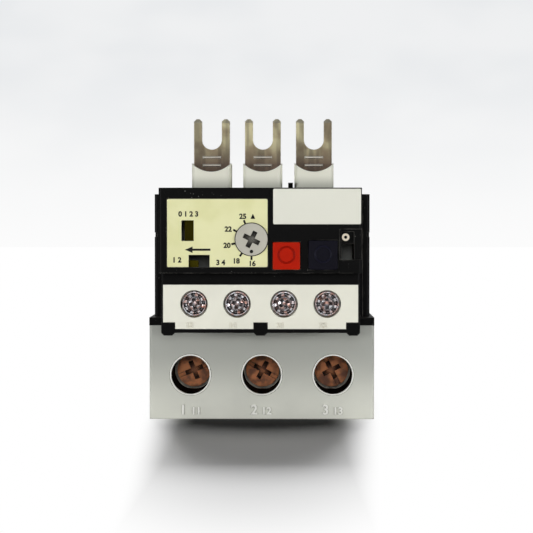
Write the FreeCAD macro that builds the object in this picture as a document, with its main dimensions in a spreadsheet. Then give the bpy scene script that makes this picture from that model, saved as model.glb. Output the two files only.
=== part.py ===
import FreeCAD, Part
from math import cos, pi, sin
import os
import re

import Sketcher

# A three-pole thermal overload relay with fork terminals, standing on its foot.
# X runs to the right seen from the front, Y runs to the rear and Z runs up towards the forks.
# The origin is the middle of the foot. Lengths are millimetres and angles are degrees.

SIZES = {
    # Case: the shroud at the foot, the housing above it, the terminal block and cover in front.
    "body_width": 60.0,
    "overall_depth": 80.0,
    "wall": 1.8,
    "moulding_gap": 0.1,
    "corner_radius": 0.9,
    "plate_proud": 1.0,
    "block_setback": 6.0,
    "shroud_setback": 24.0,
    "housing_setback": 5.0,
    "shroud_height": 25.0,
    "flange_thickness": 2.1,
    "housing_height": 33.0,
    "housing_inset": 1.0,
    "block_drop": 0.9,
    "block_height": 16.1,
    "block_width": 50.8,
    "cover_height": 20.8,
    "cover_lap": 0.2,
    "cover_wall": 1.6,
    "lip_drop": 0.7,
    "lip_thickness": 0.85,
    # Load terminals, one per pole.
    "load_pitch": 19.0,
    "load_axis_z": 11.8,
    "load_hole": 10.4,
    "hole_bevel": 0.45,
    "tube_length": 15.0,
    "chamber_width": 13.0,
    "chamber_depth": 22.4,
    "chamber_height": 18.8,
    "entry_margin": 0.8,
    "bar_width": 11.0,
    "bar_thickness": 1.6,
    "bar_setback": 10.6,
    "bar_foot": 1.4,
    "wing_height": 7.4,
    "wing_half": 4.5,
    "wing_lip": 0.8,
    "nut_size": 9.0,
    "nut_thickness": 4.0,
    "load_shank": 5.9,
    "load_head": 9.2,
    "load_head_height": 3.4,
    "load_head_inset": 1.0,
    "load_shank_length": 12.4,
    "load_slot": 1.3,
    "load_slot_depth": 0.5,
    "load_cross": 5.2,
    "load_cross_depth": 2.2,
    "clamp_size": 11.0,
    "clamp_thickness": 1.2,
    "clamp_lip": 0.8,
    "thread_gap": 0.05,
    "core_wall": 2.0,
    "core_half": 7.0,
    # Snap hooks that hold the shroud to the housing.
    "hook_y": 6.0,
    "hook_spacing": 20.0,
    "hook_width": 6.0,
    "hook_drop": 9.0,
    "hook_thickness": 1.6,
    "hook_catch": 1.2,
    "hook_catch_height": 2.2,
    # Line side: forks, collars, bimetals and heaters.
    "fork_pitch": 14.2,
    "fork_width": 10.0,
    "fork_thickness": 1.6,
    "fork_slot": 5.5,
    "fork_reach": 21.3,
    "fork_slot_depth": 8.5,
    "fork_chamfer": 0.7,
    "fork_lead": 1.1,
    "fork_inset": 4.0,
    "fork_shoulder": 1.0,
    "fork_root": 12.3,
    "fork_fit": 0.05,
    "bead_width": 5.0,
    "bead_height": 0.7,
    "bead_rise": 0.25,
    "bead_step": 2.2,
    "collar_setback": 11.0,
    "collar_width": 10.8,
    "collar_depth": 11.0,
    "collar_height": 8.9,
    "collar_scoop": 2.4,
    "collar_wall": 1.3,
    "collar_radius": 1.5,
    "collar_plate": 2.0,
    "collar_margin": 1.5,
    "bimetal_thickness": 0.8,
    "bimetal_width": 6.0,
    "bimetal_rise": 0.9,
    "winding_gap": 0.9,
    "winding_spread": 1.8,
    "winding_pitch": 2.4,
    "ribbon_thickness": 0.4,
    "ribbon_width": 1.4,
    "slider_drop": 5.7,
    "slider_thickness": 1.2,
    "slider_travel": 1.8,
    "slider_slack": 0.1,
    "partition": 1.2,
    "partition_setback": 12.0,
    # Top hook between the second and third pole, and the latch notch in each side.
    "latch_x": 7.7,
    "latch_width": 1.3,
    "latch_height": 3.4,
    "latch_depth": 4.0,
    "notch_height": 1.2,
    "notch_depth": 0.7,
    "notch_length": 3.0,
    "notch_rise": 21.5,
    # Mechanism plate, frame, lever and contact carrier.
    "plate_thickness": 2.0,
    "tab_spacing": 32.0,
    "tab_width": 6.0,
    "tab_reach": 0.9,
    "frame_setback": 11.4,
    "frame_thickness": 1.2,
    "frame_margin": 0.4,
    "shelf_drop": 3.0,
    "lever_inset": 4.2,
    "lever_setback": 4.0,
    "lever_hub": 4.0,
    "lever_pin": 1.8,
    "pin_gap": 0.05,
    "lever_arm": 1.2,
    "lever_reach": 19.4,
    "lever_bar": 2.0,
    "lever_rise": 1.4,
    "blade_rise": 3.2,
    "carrier_thickness": 1.4,
    "carrier_half": 19.0,
    "contact_gap": 1.3,
    "bridge_thickness": 0.8,
    "bridge_height": 2.2,
    # Auxiliary terminals, two pairs.
    "aux_inner": 6.0,
    "aux_outer": 17.0,
    "aux_axis_rise": 7.4,
    "aux_hole": 7.04,
    "aux_chamber": 7.6,
    "aux_chamber_height": 11.9,
    "aux_back": 1.3,
    "aux_plate": 1.2,
    "aux_plate_margin": 0.5,
    "aux_plate_height": 11.3,
    "aux_plate_rise": 1.0,
    "aux_bar_setback": 9.2,
    "aux_bar_thickness": 1.0,
    "aux_bar_width": 6.8,
    "aux_blade_width": 4.6,
    "aux_bar_foot": 1.2,
    "aux_nut": 6.0,
    "aux_nut_thickness": 2.4,
    "aux_shank": 3.4,
    "aux_head": 6.4,
    "aux_head_height": 2.2,
    "aux_head_inset": 0.2,
    "aux_shank_length": 9.2,
    "aux_cross": 3.0,
    "aux_slot": 0.9,
    "aux_clamp": 6.8,
    "aux_clamp_thickness": 1.0,
    "bump_width": 3.5,
    "bump_drop": 0.7,
    "bump_height": 3.3,
    "bump_depth": 5.0,
    "bump_radius": 0.6,
    # Front face: label, windows, dial, name plate, buttons and selector.
    "label_margin": 2.15,
    "label_gap": 1.36,
    "label_rise": 0.8,
    "label_height": 17.2,
    "label_thickness": 0.6,
    "dial_inset": 4.09,
    "dial_rise": 7.8,
    "dial_radius": 4.05,
    "dial_gap": 0.15,
    "dial_proud": 0.5,
    "dial_flange": 0.5,
    "dial_shaft": 2.4,
    "dial_pivot": 1.5,
    "dial_cam_shift": 0.9,
    "dial_slot": 1.2,
    "dial_slot_length": 4.4,
    "dial_slot_depth": 1.7,
    "dial_slot_angle": 27.0,
    "label_ring": 0.2,
    "trip_inset": 3.65,
    "trip_width": 3.1,
    "trip_rise": 7.4,
    "trip_height": 5.2,
    "test_inset": 5.45,
    "test_width": 5.3,
    "test_height": 3.1,
    "tester_thickness": 1.0,
    "tester_inset": 0.3,
    "tester_tab": 2.1,
    "tester_tab_rise": 1.7,
    "tester_arm": 2.0,
    "tester_flag": 2.4,
    "name_margin": 0.3,
    "name_width": 22.02,
    "name_rise": 11.6,
    "name_height": 8.9,
    "name_peg": 1.0,
    "name_peg_inset": 4.0,
    "button_rise": 0.25,
    "button_gap": 0.15,
    "button_proud": 0.8,
    "button_flange": 0.5,
    "button_flange_thickness": 1.2,
    "button_radius": 0.35,
    "stop_inset": 22.4,
    "stop_width": 6.8,
    "reset_inset": 13.4,
    "reset_width": 7.2,
    "spigot_radius": 1.1,
    "spigot_length": 4.4,
    "spring_radius": 1.8,
    "spring_wire": 0.25,
    "selector_slot_inset": 5.2,
    "selector_slot_width": 3.2,
    "selector_slot_rise": 2.7,
    "selector_slot_height": 7.0,
    "selector_recess": 0.8,
    "selector_recess_height": 7.7,
    "selector_offset": 1.1,
    "selector_radius": 0.95,
    "selector_bore": 0.4,
    "selector_plate": 3.4,
    "selector_inset": 0.4,
}

# Facets of each spring: its turns, straight sides to a turn and sides of the wire.
SPRING_TURNS = 4
SPRING_SIDES = 8
WIRE_SIDES = 4

# Angle at which each terminal screw happens to stand.
TURNS = {"load": (-22.0, 28.0, 63.0), "aux": (8.0, -14.0, 31.0, 4.0)}

# Stations that follow from the driving dimensions.
DERIVED = {
    "side_x": "body_width / 2",
    "rear_y": "overall_depth / 2",
    "face_y": "plate_proud - overall_depth / 2",
    "block_y": "face_y + block_setback",
    "shroud_y": "face_y + shroud_setback",
    "housing_y": "shroud_y + housing_setback",
    "back_y": "rear_y - wall",
    "behind_face": "face_y + cover_wall",
    "block_rear": "shroud_y - moulding_gap",
    "flange_z": "shroud_height + flange_thickness",
    "housing_x": "side_x - housing_inset",
    "housing_z": "flange_z + housing_height",
    "inner_x": "housing_x - wall",
    "roof_z": "housing_z - wall",
    "block_low": "shroud_height - block_drop",
    "block_top": "block_low + block_height",
    "cover_top": "block_top + cover_height",
    "lip_low": "block_top - lip_drop",
    "lip_top": "lip_low + lip_thickness",
    "carrier_x": "side_x - wall - moulding_gap",
    "chamber_y": "shroud_y + tube_length",
    "chamber_end": "chamber_y + chamber_depth",
    "chamber_top": "wall + chamber_height",
    "bar_y": "chamber_y + bar_setback",
    "bar_back": "bar_y + bar_thickness",
    "wing_top": "flange_z + wing_height",
    "load_head_y": "chamber_y + load_head_inset",
    "load_seat_y": "load_head_y + load_head_height",
    "collar_y": "housing_y + collar_setback",
    "collar_rear": "collar_y + collar_depth",
    "collar_top": "housing_z + collar_height",
    "collar_sole": "roof_z - collar_plate",
    "fork_y": "collar_y + fork_inset",
    "fork_back": "fork_y + fork_thickness",
    "fork_tip": "housing_z + fork_reach",
    "fork_floor": "fork_tip - fork_slot_depth",
    "fork_low": "roof_z - fork_root",
    "slider_low": "roof_z - slider_drop",
    "slider_top": "slider_low + slider_thickness",
    "bimetal_mid": "bar_back + bimetal_width / 2",
    "frame_y": "behind_face + frame_setback - frame_thickness",
    "frame_back": "behind_face + frame_setback",
    "shelf_top": "cover_top - shelf_drop",
    "cover_x": "block_width / 2 + cover_lap",
    "aux_plate_x": "block_width / 2 - aux_plate_margin",
    "frame_half": "cover_x - cover_wall - frame_margin",
    "lever_x": "cover_x - lever_inset",
    "lever_y": "housing_y - lever_setback",
    "lever_left": "lever_x - lever_arm / 2",
    "aux_front": "block_y + aux_plate",
    "aux_end": "block_rear - aux_back",
    "aux_z": "block_low + aux_axis_rise",
    "aux_chamber_top": "block_low + aux_chamber_height",
    "aux_bar_y": "block_y + aux_bar_setback",
    "aux_bar_back": "aux_bar_y + aux_bar_thickness",
    "aux_head_y": "aux_front + aux_head_inset",
    "aux_seat_y": "aux_head_y + aux_head_height",
    "blade_top": "block_top + blade_rise",
    "name_left": "cover_x - name_margin - name_width",
    "label_left": "cover_x - label_margin",
    "label_right": "name_left - label_gap",
    "dial_x": "label_right - dial_inset",
    "dial_z": "block_top + dial_rise",
    "trip_low_x": "trip_inset - label_left",
    "test_low_x": "test_inset - label_left",
    "stop_left": "cover_x - stop_inset",
    "reset_left": "cover_x - reset_inset",
    "selector_slot_left": "cover_x - selector_slot_inset",
    "selector_x": "selector_slot_left + selector_offset",
    "label_low": "block_top + label_rise",
    "button_low": "block_top + button_rise",
    "button_rest": "behind_face + button_flange_thickness",
    "selector_low": "block_top + selector_slot_rise",
    "selector_z": "selector_low + selector_slot_height - selector_radius - selector_inset",
}

WORD = re.compile(r"[a-z][a-z_0-9]*")
PLANES = {"X": "YZ_Plane", "Y": "XZ_Plane", "Z": "XY_Plane"}
TILT = 0.02

doc = FreeCAD.newDocument("ThermalOverloadRelay")
sheet = doc.addObject("Spreadsheet::Sheet", "Sizes")
for row, (alias, size) in enumerate(SIZES.items(), start=1):
    sheet.set(f"A{row}", alias)
    sheet.set(f"B{row}", str(size))
    sheet.setAlias(f"B{row}", alias)
doc.recompute()

nodes = []


def spell(formula):
    """Write a formula for FreeCAD: stations opened out, driving dimensions read from the sheet."""
    def opened(match):
        name = match.group(0)
        if name in DERIVED:
            return "(" + spell(DERIVED[name]) + ")"
        return "Sizes." + name if name in SIZES else name
    return WORD.sub(opened, str(formula))


def new_body(label, x=None, y=None, z=None, turn=None):
    """Start a sub-part. x, y and z place its origin, and turn rolls it about the Y axis."""
    body = doc.addObject("PartDesign::Body", label)
    body.Label = label
    if turn is not None:
        body.Placement = FreeCAD.Placement(FreeCAD.Vector(), FreeCAD.Rotation(FreeCAD.Vector(0, 1, 0), 1))
        body.setExpression("Placement.Rotation.Angle", spell(turn))
    for axis, place in (("x", x), ("y", y), ("z", z)):
        if place is not None:
            body.setExpression(f"Placement.Base.{axis}", spell(place))
    nodes.append(body)
    return body


def new_sketch(body, role, offset):
    """Put an empty sketch on one of the body's origin planes, moved along the plane's normal."""
    sketch = body.newObject("Sketcher::SketchObject", body.Label + "_sketch")
    origin_plane = [feature for feature in body.Origin.OriginFeatures if feature.Role == role][0]
    sketch.AttachmentSupport = [(origin_plane, "")]
    sketch.MapMode = "FlatFace"
    sketch.setExpression("AttachmentOffset.Base.z", spell(offset))
    return sketch


def pin_point(sketch, geometry, vertex, across, up, start):
    """Fix a sketch point by two formulas, starting the solver from the given place."""
    for kind, formula, value in (("DistanceX", across, start.x), ("DistanceY", up, start.y)):
        index = sketch.addConstraint(Sketcher.Constraint(kind, -1, 1, geometry, vertex, value))
        sketch.setExpression(f"Constraints[{index}]", spell(formula))


def draw_outline(sketch, points):
    """Draw a closed outline of straight sides through points given as pairs of formulas."""
    starts = [FreeCAD.Vector(index + 1, (index + 1) ** 2, 0) for index in range(len(points))]
    first = sketch.GeometryCount
    for index, start in enumerate(starts):
        sketch.addGeometry(Part.LineSegment(start, starts[(index + 1) % len(starts)]))
    for index in range(len(points)):
        after = (index + 1) % len(points)
        sketch.addConstraint(Sketcher.Constraint("Coincident", first + index, 2, first + after, 1))
    for index, (across, up) in enumerate(points):
        pin_point(sketch, first + index, 1, across, up, starts[index])


def draw_circle(sketch, across, up, radius):
    """Draw a circle placed and sized by formulas."""
    start = FreeCAD.Vector(1, 1, 0)
    index = sketch.addGeometry(Part.Circle(start, FreeCAD.Vector(0, 0, 1), 1))
    pin_point(sketch, index, 3, across, up, start)
    size = sketch.addConstraint(Sketcher.Constraint("Radius", index, 1.0))
    sketch.setExpression(f"Constraints[{size}]", spell(radius))


def extrude(body, axis, shapes, low, high, cut=False):
    """Add or cut straight prisms between two stations along an axis.

    A shape is a list of points, or a (across, up, radius) circle. Across and up are X and Y for
    axis Z, X and Z for axis Y, and Y and Z for axis X.
    """
    start = high if (axis == "Y") != cut else low
    sketch = new_sketch(body, PLANES[axis], f"-({start})" if axis == "Y" else start)
    for shape in shapes:
        if isinstance(shape, tuple):
            draw_circle(sketch, *shape)
        else:
            draw_outline(sketch, shape)
    feature = body.newObject("PartDesign::Pocket" if cut else "PartDesign::Pad", body.Label + "_prism")
    feature.Profile = sketch
    feature.setExpression("Length", spell(f"({high}) - ({low})"))
    body.Tip = feature
    return feature


def revolve(body, points):
    """Turn a half outline in the XY plane about the Y axis into a solid."""
    sketch = new_sketch(body, PLANES["Z"], "0")
    draw_outline(sketch, points)
    feature = body.newObject("PartDesign::Revolution", body.Label + "_turned")
    feature.Profile = sketch
    feature.ReferenceAxis = (sketch, ["V_Axis"])
    feature.Angle = 360
    body.Tip = feature
    return feature


def box(low_across, low_up, high_across, high_up):
    """Corners of an upright rectangle."""
    return [(low_across, low_up), (high_across, low_up), (high_across, high_up), (low_across, high_up)]


def around(across, up, half_across, half_up):
    """Corners of a rectangle about its middle."""
    return box(f"{across} - ({half_across})", f"{up} - ({half_up})",
               f"{across} + ({half_across})", f"{up} + ({half_up})")


def bore(across, up, radius):
    """Outline of an eight-sided bore whose flats stand at the given radius."""
    corner = f"({radius}) / cos(22.5)"
    return [(f"{across} + {corner} * cos({angle})", f"{up} + {corner} * sin({angle})")
            for angle in (22.5, 67.5, 112.5, 157.5, 202.5, 247.5, 292.5, 337.5)]


def cross(length, width):
    """Outline of a plus sign about the origin, with arms of one length and width."""
    long, short = f"({length}) / 2", f"({width}) / 2"
    corner = [(long, short), (short, short), (short, long)]
    second = [(f"-({x})", y) for x, y in reversed(corner)]
    third = [(f"-({x})", f"-({y})") for x, y in corner]
    fourth = [(x, f"-({y})") for x, y in reversed(corner)]
    return corner + second + third + fourth


def edge_names(body, chosen):
    """Names of the finished shape's edges that a test picks out."""
    doc.recompute()
    return [f"Edge{number}" for number, edge in enumerate(body.Tip.Shape.Edges, start=1) if chosen(edge)]


def corner_edges(body, axis):
    """Edges along an axis that stand at the outer corners of the body."""
    doc.recompute()
    bounds = body.Tip.Shape.BoundBox
    limits = {"X": (bounds.XMin, bounds.XMax), "Y": (bounds.YMin, bounds.YMax), "Z": (bounds.ZMin, bounds.ZMax)}
    others = [name for name in "XYZ" if name != axis]

    def at_corner(edge):
        box_of_edge = edge.BoundBox
        spans = {"X": box_of_edge.XLength, "Y": box_of_edge.YLength, "Z": box_of_edge.ZLength}
        middle = {"X": box_of_edge.Center.x, "Y": box_of_edge.Center.y, "Z": box_of_edge.Center.z}
        straight = all(spans[name] < TILT for name in others)
        return straight and all(min(abs(middle[name] - limit) for limit in limits[name]) < TILT
                                for name in others)
    return edge_names(body, at_corner)


def front_edges(body, chosen):
    """Edges lying in the body's foremost plane that a test picks out."""
    doc.recompute()
    front = body.Tip.Shape.BoundBox.YMin + TILT
    return edge_names(body, lambda edge: edge.BoundBox.YMax < front and chosen(edge))


def soften(body, kind, names, size):
    """Round or bevel the named edges."""
    solid = body.Tip
    feature = body.newObject(f"PartDesign::{kind}", f"{body.Label}_{kind.lower()}")
    feature.Base = (solid, names)
    feature.setExpression("Radius" if kind == "Fillet" else "Size", spell(size))
    body.Tip = feature
    return feature


POLES = (-1, 0, 1)
AUX_PLACES = ("-aux_outer", "-aux_inner", "aux_inner", "aux_outer")


def terminal_shroud():
    """Light grey foot: an open-topped box with three screw holes and three wire entries."""
    body = new_body("terminal_shroud")
    extrude(body, "Z", [box("-side_x", "shroud_y", "side_x", "rear_y")], "0", "shroud_height")
    soften(body, "Fillet", corner_edges(body, "Z"), "corner_radius")
    extrude(body, "Z", [box("wall - side_x", "shroud_y + wall", "side_x - wall", "rear_y - wall")],
            "wall", "shroud_height", cut=True)
    holes = [(f"{pole} * load_pitch", "load_axis_z", "load_hole / 2") for pole in POLES]
    extrude(body, "Y", holes, "shroud_y", "shroud_y + wall", cut=True)
    entries = [box(f"{pole} * load_pitch - chamber_width / 2", "chamber_y + entry_margin",
                   f"{pole} * load_pitch + chamber_width / 2", "bar_y") for pole in POLES]
    extrude(body, "Z", entries, "0", "wall", cut=True)
    windows = [box(f"{place} - hook_width / 2", "shroud_height - hook_drop",
                   f"{place} + hook_width / 2", "shroud_height - hook_drop + hook_catch_height + moulding_gap")
               for place in ("hook_y", "(hook_y + hook_spacing)")]
    extrude(body, "X", windows, "-side_x", "side_x", cut=True)
    soften(body, "Chamfer", front_edges(body, lambda edge: isinstance(edge.Curve, Part.Circle)), "hole_bevel")


def load_carrier():
    """Black inner block: three terminal chambers with screw guides, and cored-out backs."""
    body = new_body("load_carrier")
    extrude(body, "Z", [box("-carrier_x", "shroud_y + wall + moulding_gap", "carrier_x",
                            "back_y - moulding_gap")], "wall", "shroud_height")
    chambers = [box(f"{pole} * load_pitch - chamber_width / 2", "chamber_y",
                    f"{pole} * load_pitch + chamber_width / 2", "chamber_end") for pole in POLES]
    extrude(body, "Z", chambers, "wall", "chamber_top", cut=True)
    guides = [(f"{pole} * load_pitch", "load_axis_z", "load_hole / 2") for pole in POLES]
    extrude(body, "Y", guides, "shroud_y", "chamber_y", cut=True)
    slots = [box(f"{pole} * load_pitch - bar_width / 2 - moulding_gap", "bar_y - moulding_gap",
                 f"{pole} * load_pitch + bar_width / 2 + moulding_gap", "bar_back + moulding_gap")
             for pole in POLES]
    extrude(body, "Z", slots, "chamber_top", "shroud_height", cut=True)
    cores = [box(f"{pole} * load_pitch - core_half", "chamber_end + core_wall",
                 f"{pole} * load_pitch + core_half", "back_y - core_wall") for pole in POLES]
    extrude(body, "Z", cores, "wall + core_wall", "shroud_height", cut=True)
    reliefs = [box(f"{side}carrier_x + {start}", f"{place} - hook_width / 2 - moulding_gap",
                   f"{side}carrier_x + {end}", f"{place} + hook_width / 2 + moulding_gap")
               for place in ("hook_y", "(hook_y + hook_spacing)")
               for side, start, end in (("-", "-moulding_gap", "2 * hook_thickness"),
                                        ("", "-2 * hook_thickness", "moulding_gap"))]
    extrude(body, "Z", reliefs, "shroud_height - hook_drop - hook_thickness", "shroud_height", cut=True)


def hook_outline(side):
    """Snap hook seen from the front: a tongue with a sloped catch on its outer side."""
    outer = "(side_x - wall - moulding_gap)"
    foot = "(shroud_height - hook_drop)"
    points = [(f"{outer} - hook_thickness", "flange_z"),
              (f"{outer} - hook_thickness", foot),
              (outer, foot),
              (f"{outer} + hook_catch", f"{foot} + hook_catch_height"),
              (outer, f"{foot} + hook_catch_height"),
              (outer, "flange_z")]
    return [(f"{side}({across})", up) for across, up in points]


def main_housing():
    """Black rear housing: flange, pole chambers with partitions, collar windows and snap hooks."""
    body = new_body("main_housing")
    extrude(body, "Z", [box("-housing_x", "housing_y", "housing_x", "rear_y")], "shroud_height", "housing_z")
    soften(body, "Fillet", corner_edges(body, "Z"), "corner_radius")
    extrude(body, "Z", [box("-side_x", "shroud_y", "side_x", "rear_y")], "shroud_height", "flange_z")
    extrude(body, "Y", [box("-inner_x", "flange_z", "inner_x", "roof_z")], "housing_y", "back_y", cut=True)
    walls = [box(f"{side} * fork_pitch / 2 - partition / 2", "flange_z",
                 f"{side} * fork_pitch / 2 + partition / 2", "slider_low") for side in (-1, 1)]
    extrude(body, "Y", walls, "housing_y + partition_setback", "back_y")
    slots = [box(f"{pole} * load_pitch - bar_width / 2 - moulding_gap", "bar_y - moulding_gap",
                 f"{pole} * load_pitch + bar_width / 2 + moulding_gap", "bar_back + moulding_gap")
             for pole in POLES]
    extrude(body, "Z", slots, "shroud_height", "flange_z", cut=True)
    windows = [box(f"{pole} * fork_pitch - collar_width / 2 - moulding_gap", "collar_y - moulding_gap",
                   f"{pole} * fork_pitch + collar_width / 2 + moulding_gap", "collar_rear + moulding_gap")
               for pole in POLES]
    extrude(body, "Z", windows, "roof_z", "housing_z", cut=True)
    for side in ("-", ""):
        for place in ("hook_y", "(hook_y + hook_spacing)"):
            extrude(body, "Y", [hook_outline(side)], f"{place} - hook_width / 2 + moulding_gap",
                    f"{place} + hook_width / 2 - moulding_gap")
    notches = [box(start, "flange_z + notch_rise", end, "flange_z + notch_rise + notch_height")
               for start, end in (("-side_x", "notch_depth - housing_x"),
                                  ("housing_x - notch_depth", "side_x"))]
    extrude(body, "Y", notches, "housing_y", "housing_y + notch_length", cut=True)
    seats = [around(f"{side} tab_spacing / 2", "housing_y + plate_thickness / 2",
                    "tab_width / 2 + moulding_gap", "plate_thickness / 4 + moulding_gap / 2")
             for side in ("0 -", "")]
    extrude(body, "Z", seats, "flange_z - tab_reach - moulding_gap", "flange_z", cut=True)
    extrude(body, "Z", seats, "roof_z", "roof_z + tab_reach + moulding_gap", cut=True)
    latch = [("collar_y", "housing_z"), ("collar_y + latch_depth", "housing_z"),
             ("collar_y + latch_depth", "housing_z + latch_height / 2"),
             ("collar_y + latch_depth / 2", "housing_z + latch_height"),
             ("collar_y - latch_width", "housing_z + latch_height"),
             ("collar_y", "housing_z + latch_height / 2")]
    extrude(body, "X", [latch], "latch_x - latch_width / 2", "latch_x + latch_width / 2")


def pole_collars():
    """Light grey insert: three scooped collars on a common plate under the housing's roof."""
    body = new_body("pole_collars")
    reach = "fork_pitch + collar_width / 2 + collar_margin"
    extrude(body, "Z", [box(f"-({reach})", "collar_y - collar_margin", reach, "collar_rear + collar_margin")],
            "collar_sole", "roof_z")
    sleeves = [box(f"{pole} * fork_pitch - collar_width / 2", "collar_y",
                   f"{pole} * fork_pitch + collar_width / 2", "collar_rear") for pole in POLES]
    extrude(body, "Z", sleeves, "roof_z", "collar_top")
    doc.recompute()
    middle = body.Tip.Shape.BoundBox.Center.y
    uprights = edge_names(body, lambda edge: edge.BoundBox.ZLength > SIZES["collar_height"] / 2
                          and edge.BoundBox.YMax < middle)
    soften(body, "Fillet", uprights, "collar_radius")
    scoop = "((collar_width / 2) ^ 2 + collar_scoop ^ 2) / (2 * collar_scoop)"
    scoops = [(f"{pole} * fork_pitch", f"collar_top - collar_scoop + {scoop}", scoop) for pole in POLES]
    extrude(body, "Y", scoops, "collar_y", "fork_y", cut=True)
    slots = [box(f"{pole} * fork_pitch - fork_width / 2 - fork_fit", "fork_y - fork_fit",
                 f"{pole} * fork_pitch + fork_width / 2 + fork_fit", "fork_back + fork_fit") for pole in POLES]
    extrude(body, "Z", slots, "collar_sole", "collar_top", cut=True)
    pockets = [box(f"{pole} * fork_pitch - collar_width / 2 + collar_wall", "fork_back + collar_wall",
                   f"{pole} * fork_pitch + collar_width / 2 - collar_wall", "collar_rear - collar_wall")
               for pole in POLES]
    extrude(body, "Z", pockets, "roof_z", "collar_top", cut=True)


def fork_terminal(pole):
    """Tinned fork: strap with a bevelled open slot, two coined beads and a foot bent to the heater."""
    body = new_body(f"fork_terminal_{pole + 2}", x=f"{pole} * fork_pitch")
    half, bevel = "fork_width / 2", "fork_chamfer"
    extrude(body, "Y", [[(f"-{half}", "fork_low"), (half, "fork_low"), (half, f"fork_tip - {bevel}"),
                         (f"{half} - {bevel}", "fork_tip"), (f"{bevel} - {half}", "fork_tip"),
                         (f"-{half}", f"fork_tip - {bevel}")]], "fork_y", "fork_back")
    extrude(body, "Y", [[("-fork_slot / 2", "fork_floor + fork_slot / 2"),
                         ("fork_slot / 2", "fork_floor + fork_slot / 2"),
                         ("fork_slot / 2", f"fork_tip - {bevel}"),
                         (f"fork_slot / 2 + {bevel}", "fork_tip"),
                         (f"-fork_slot / 2 - {bevel}", "fork_tip"),
                         ("-fork_slot / 2", f"fork_tip - {bevel}")]], "fork_y", "fork_back", cut=True)
    extrude(body, "Y", [("0", "fork_floor + fork_slot / 2", "fork_slot / 2")], "fork_y", "fork_back", cut=True)
    leads = [[(f"fork_y + {start}", "fork_tip - fork_lead"), (f"fork_y + {middle}", "fork_tip"),
              (f"fork_y + {start}", "fork_tip")]
             for start, middle in (("0", "fork_thickness / 3"), ("fork_thickness", "2 * fork_thickness / 3"))]
    extrude(body, "X", leads, f"-{half}", half, cut=True)
    beads = [[("fork_y", f"fork_floor - {step} * bead_step + bead_height / 2"),
              ("fork_y - bead_rise", f"fork_floor - {step} * bead_step + bead_height / 5"),
              ("fork_y - bead_rise", f"fork_floor - {step} * bead_step - bead_height / 5"),
              ("fork_y", f"fork_floor - {step} * bead_step - bead_height / 2")] for step in (1, 2)]
    extrude(body, "X", beads, "-bead_width / 2", "bead_width / 2")
    extrude(body, "Y", [box(f"-{half} - fork_shoulder", "fork_low", f"{half} + fork_shoulder", "collar_sole")],
            "fork_y", "fork_back")
    extrude(body, "Y", [box(f"-{half}", "fork_low", half, "fork_low + fork_thickness")],
            "fork_back", "bar_back - winding_gap - ribbon_thickness / 2")


def load_bar(pole):
    """Copper bar from the clamp chamber up to the bimetal, with a pressed nut and a folded tab."""
    body = new_body(f"load_bar_{pole + 2}")
    centre = f"{pole} * load_pitch"
    inner = f"{pole} * fork_pitch"
    extrude(body, "Y", [box(f"{centre} - bar_width / 2", "wall + bar_foot",
                            f"{centre} + bar_width / 2", "flange_z")], "bar_y", "bar_back")
    low = f"{inner} - wing_half" if pole > 0 else f"{centre} - bar_width / 2 - wing_lip"
    high = f"{inner} + wing_half" if pole < 0 else f"{centre} + bar_width / 2 + wing_lip"
    extrude(body, "Y", [box(low, "flange_z", high, "wing_top")], "bar_y", "bar_back")
    extrude(body, "Y", [box(f"{inner} + bimetal_thickness / 2", "flange_z + bimetal_rise",
                            f"{inner} + bimetal_thickness / 2 + bar_thickness", "wing_top - bimetal_rise")],
            "bar_back", "bar_back + bimetal_width")
    extrude(body, "Y", [around(centre, "load_axis_z", "nut_size / 2", "nut_size / 2")],
            "bar_back", "bar_back + nut_thickness")
    extrude(body, "Y", [bore(centre, "load_axis_z", "load_shank / 2 + thread_gap")],
            "bar_y", "bar_back + nut_thickness", cut=True)


def screw(label, x, z, turn, names, head_cuts):
    """Screw along +Y from its head's face: a flat head with drive recesses, and a shank."""
    head, height, shank, length, head_y = names
    body = new_body(label, x=x, y=head_y, z=z, turn=turn)
    revolve(body, [("0", "0"), (f"{head} / 2", "0"), (f"{head} / 2", height), (f"{shank} / 2", height),
                   (f"{shank} / 2", f"{height} + {length}"), ("0", f"{height} + {length}")])
    for outline, depth in head_cuts:
        extrude(body, "Y", [outline], "0", depth, cut=True)


def load_screw(pole):
    """Main terminal screw with a cross recess and a shallow slot right across its head."""
    slot = box("-load_head / 2", "-load_slot / 2", "load_head / 2", "load_slot / 2")
    names = ("load_head", "load_head_height", "load_shank", "load_shank_length", "load_head_y")
    screw(f"load_screw_{pole + 2}", f"{pole} * load_pitch", "load_axis_z", TURNS["load"][pole + 1], names,
          [(slot, "load_slot_depth"), (cross("load_cross", "load_slot"), "load_cross_depth")])


def load_clamp(pole):
    """Square clamp plate under the main screw's head, with two lips bent towards the wire."""
    body = new_body(f"load_clamp_{pole + 2}", x=f"{pole} * load_pitch", y="load_seat_y", z="load_axis_z")
    half = "clamp_size / 2"
    extrude(body, "Z", [[(f"-{half}", "0"), (half, "0"), (half, "clamp_thickness + clamp_lip"),
                         (f"{half} - clamp_thickness", "clamp_thickness + clamp_lip"),
                         (f"{half} - clamp_thickness", "clamp_thickness"),
                         (f"clamp_thickness - {half}", "clamp_thickness"),
                         (f"clamp_thickness - {half}", "clamp_thickness + clamp_lip"),
                         (f"-{half}", "clamp_thickness + clamp_lip")]], f"-{half}", half)
    extrude(body, "Y", [bore("0", "0", "load_shank / 2 + thread_gap")], "0", "clamp_thickness", cut=True)


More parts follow.
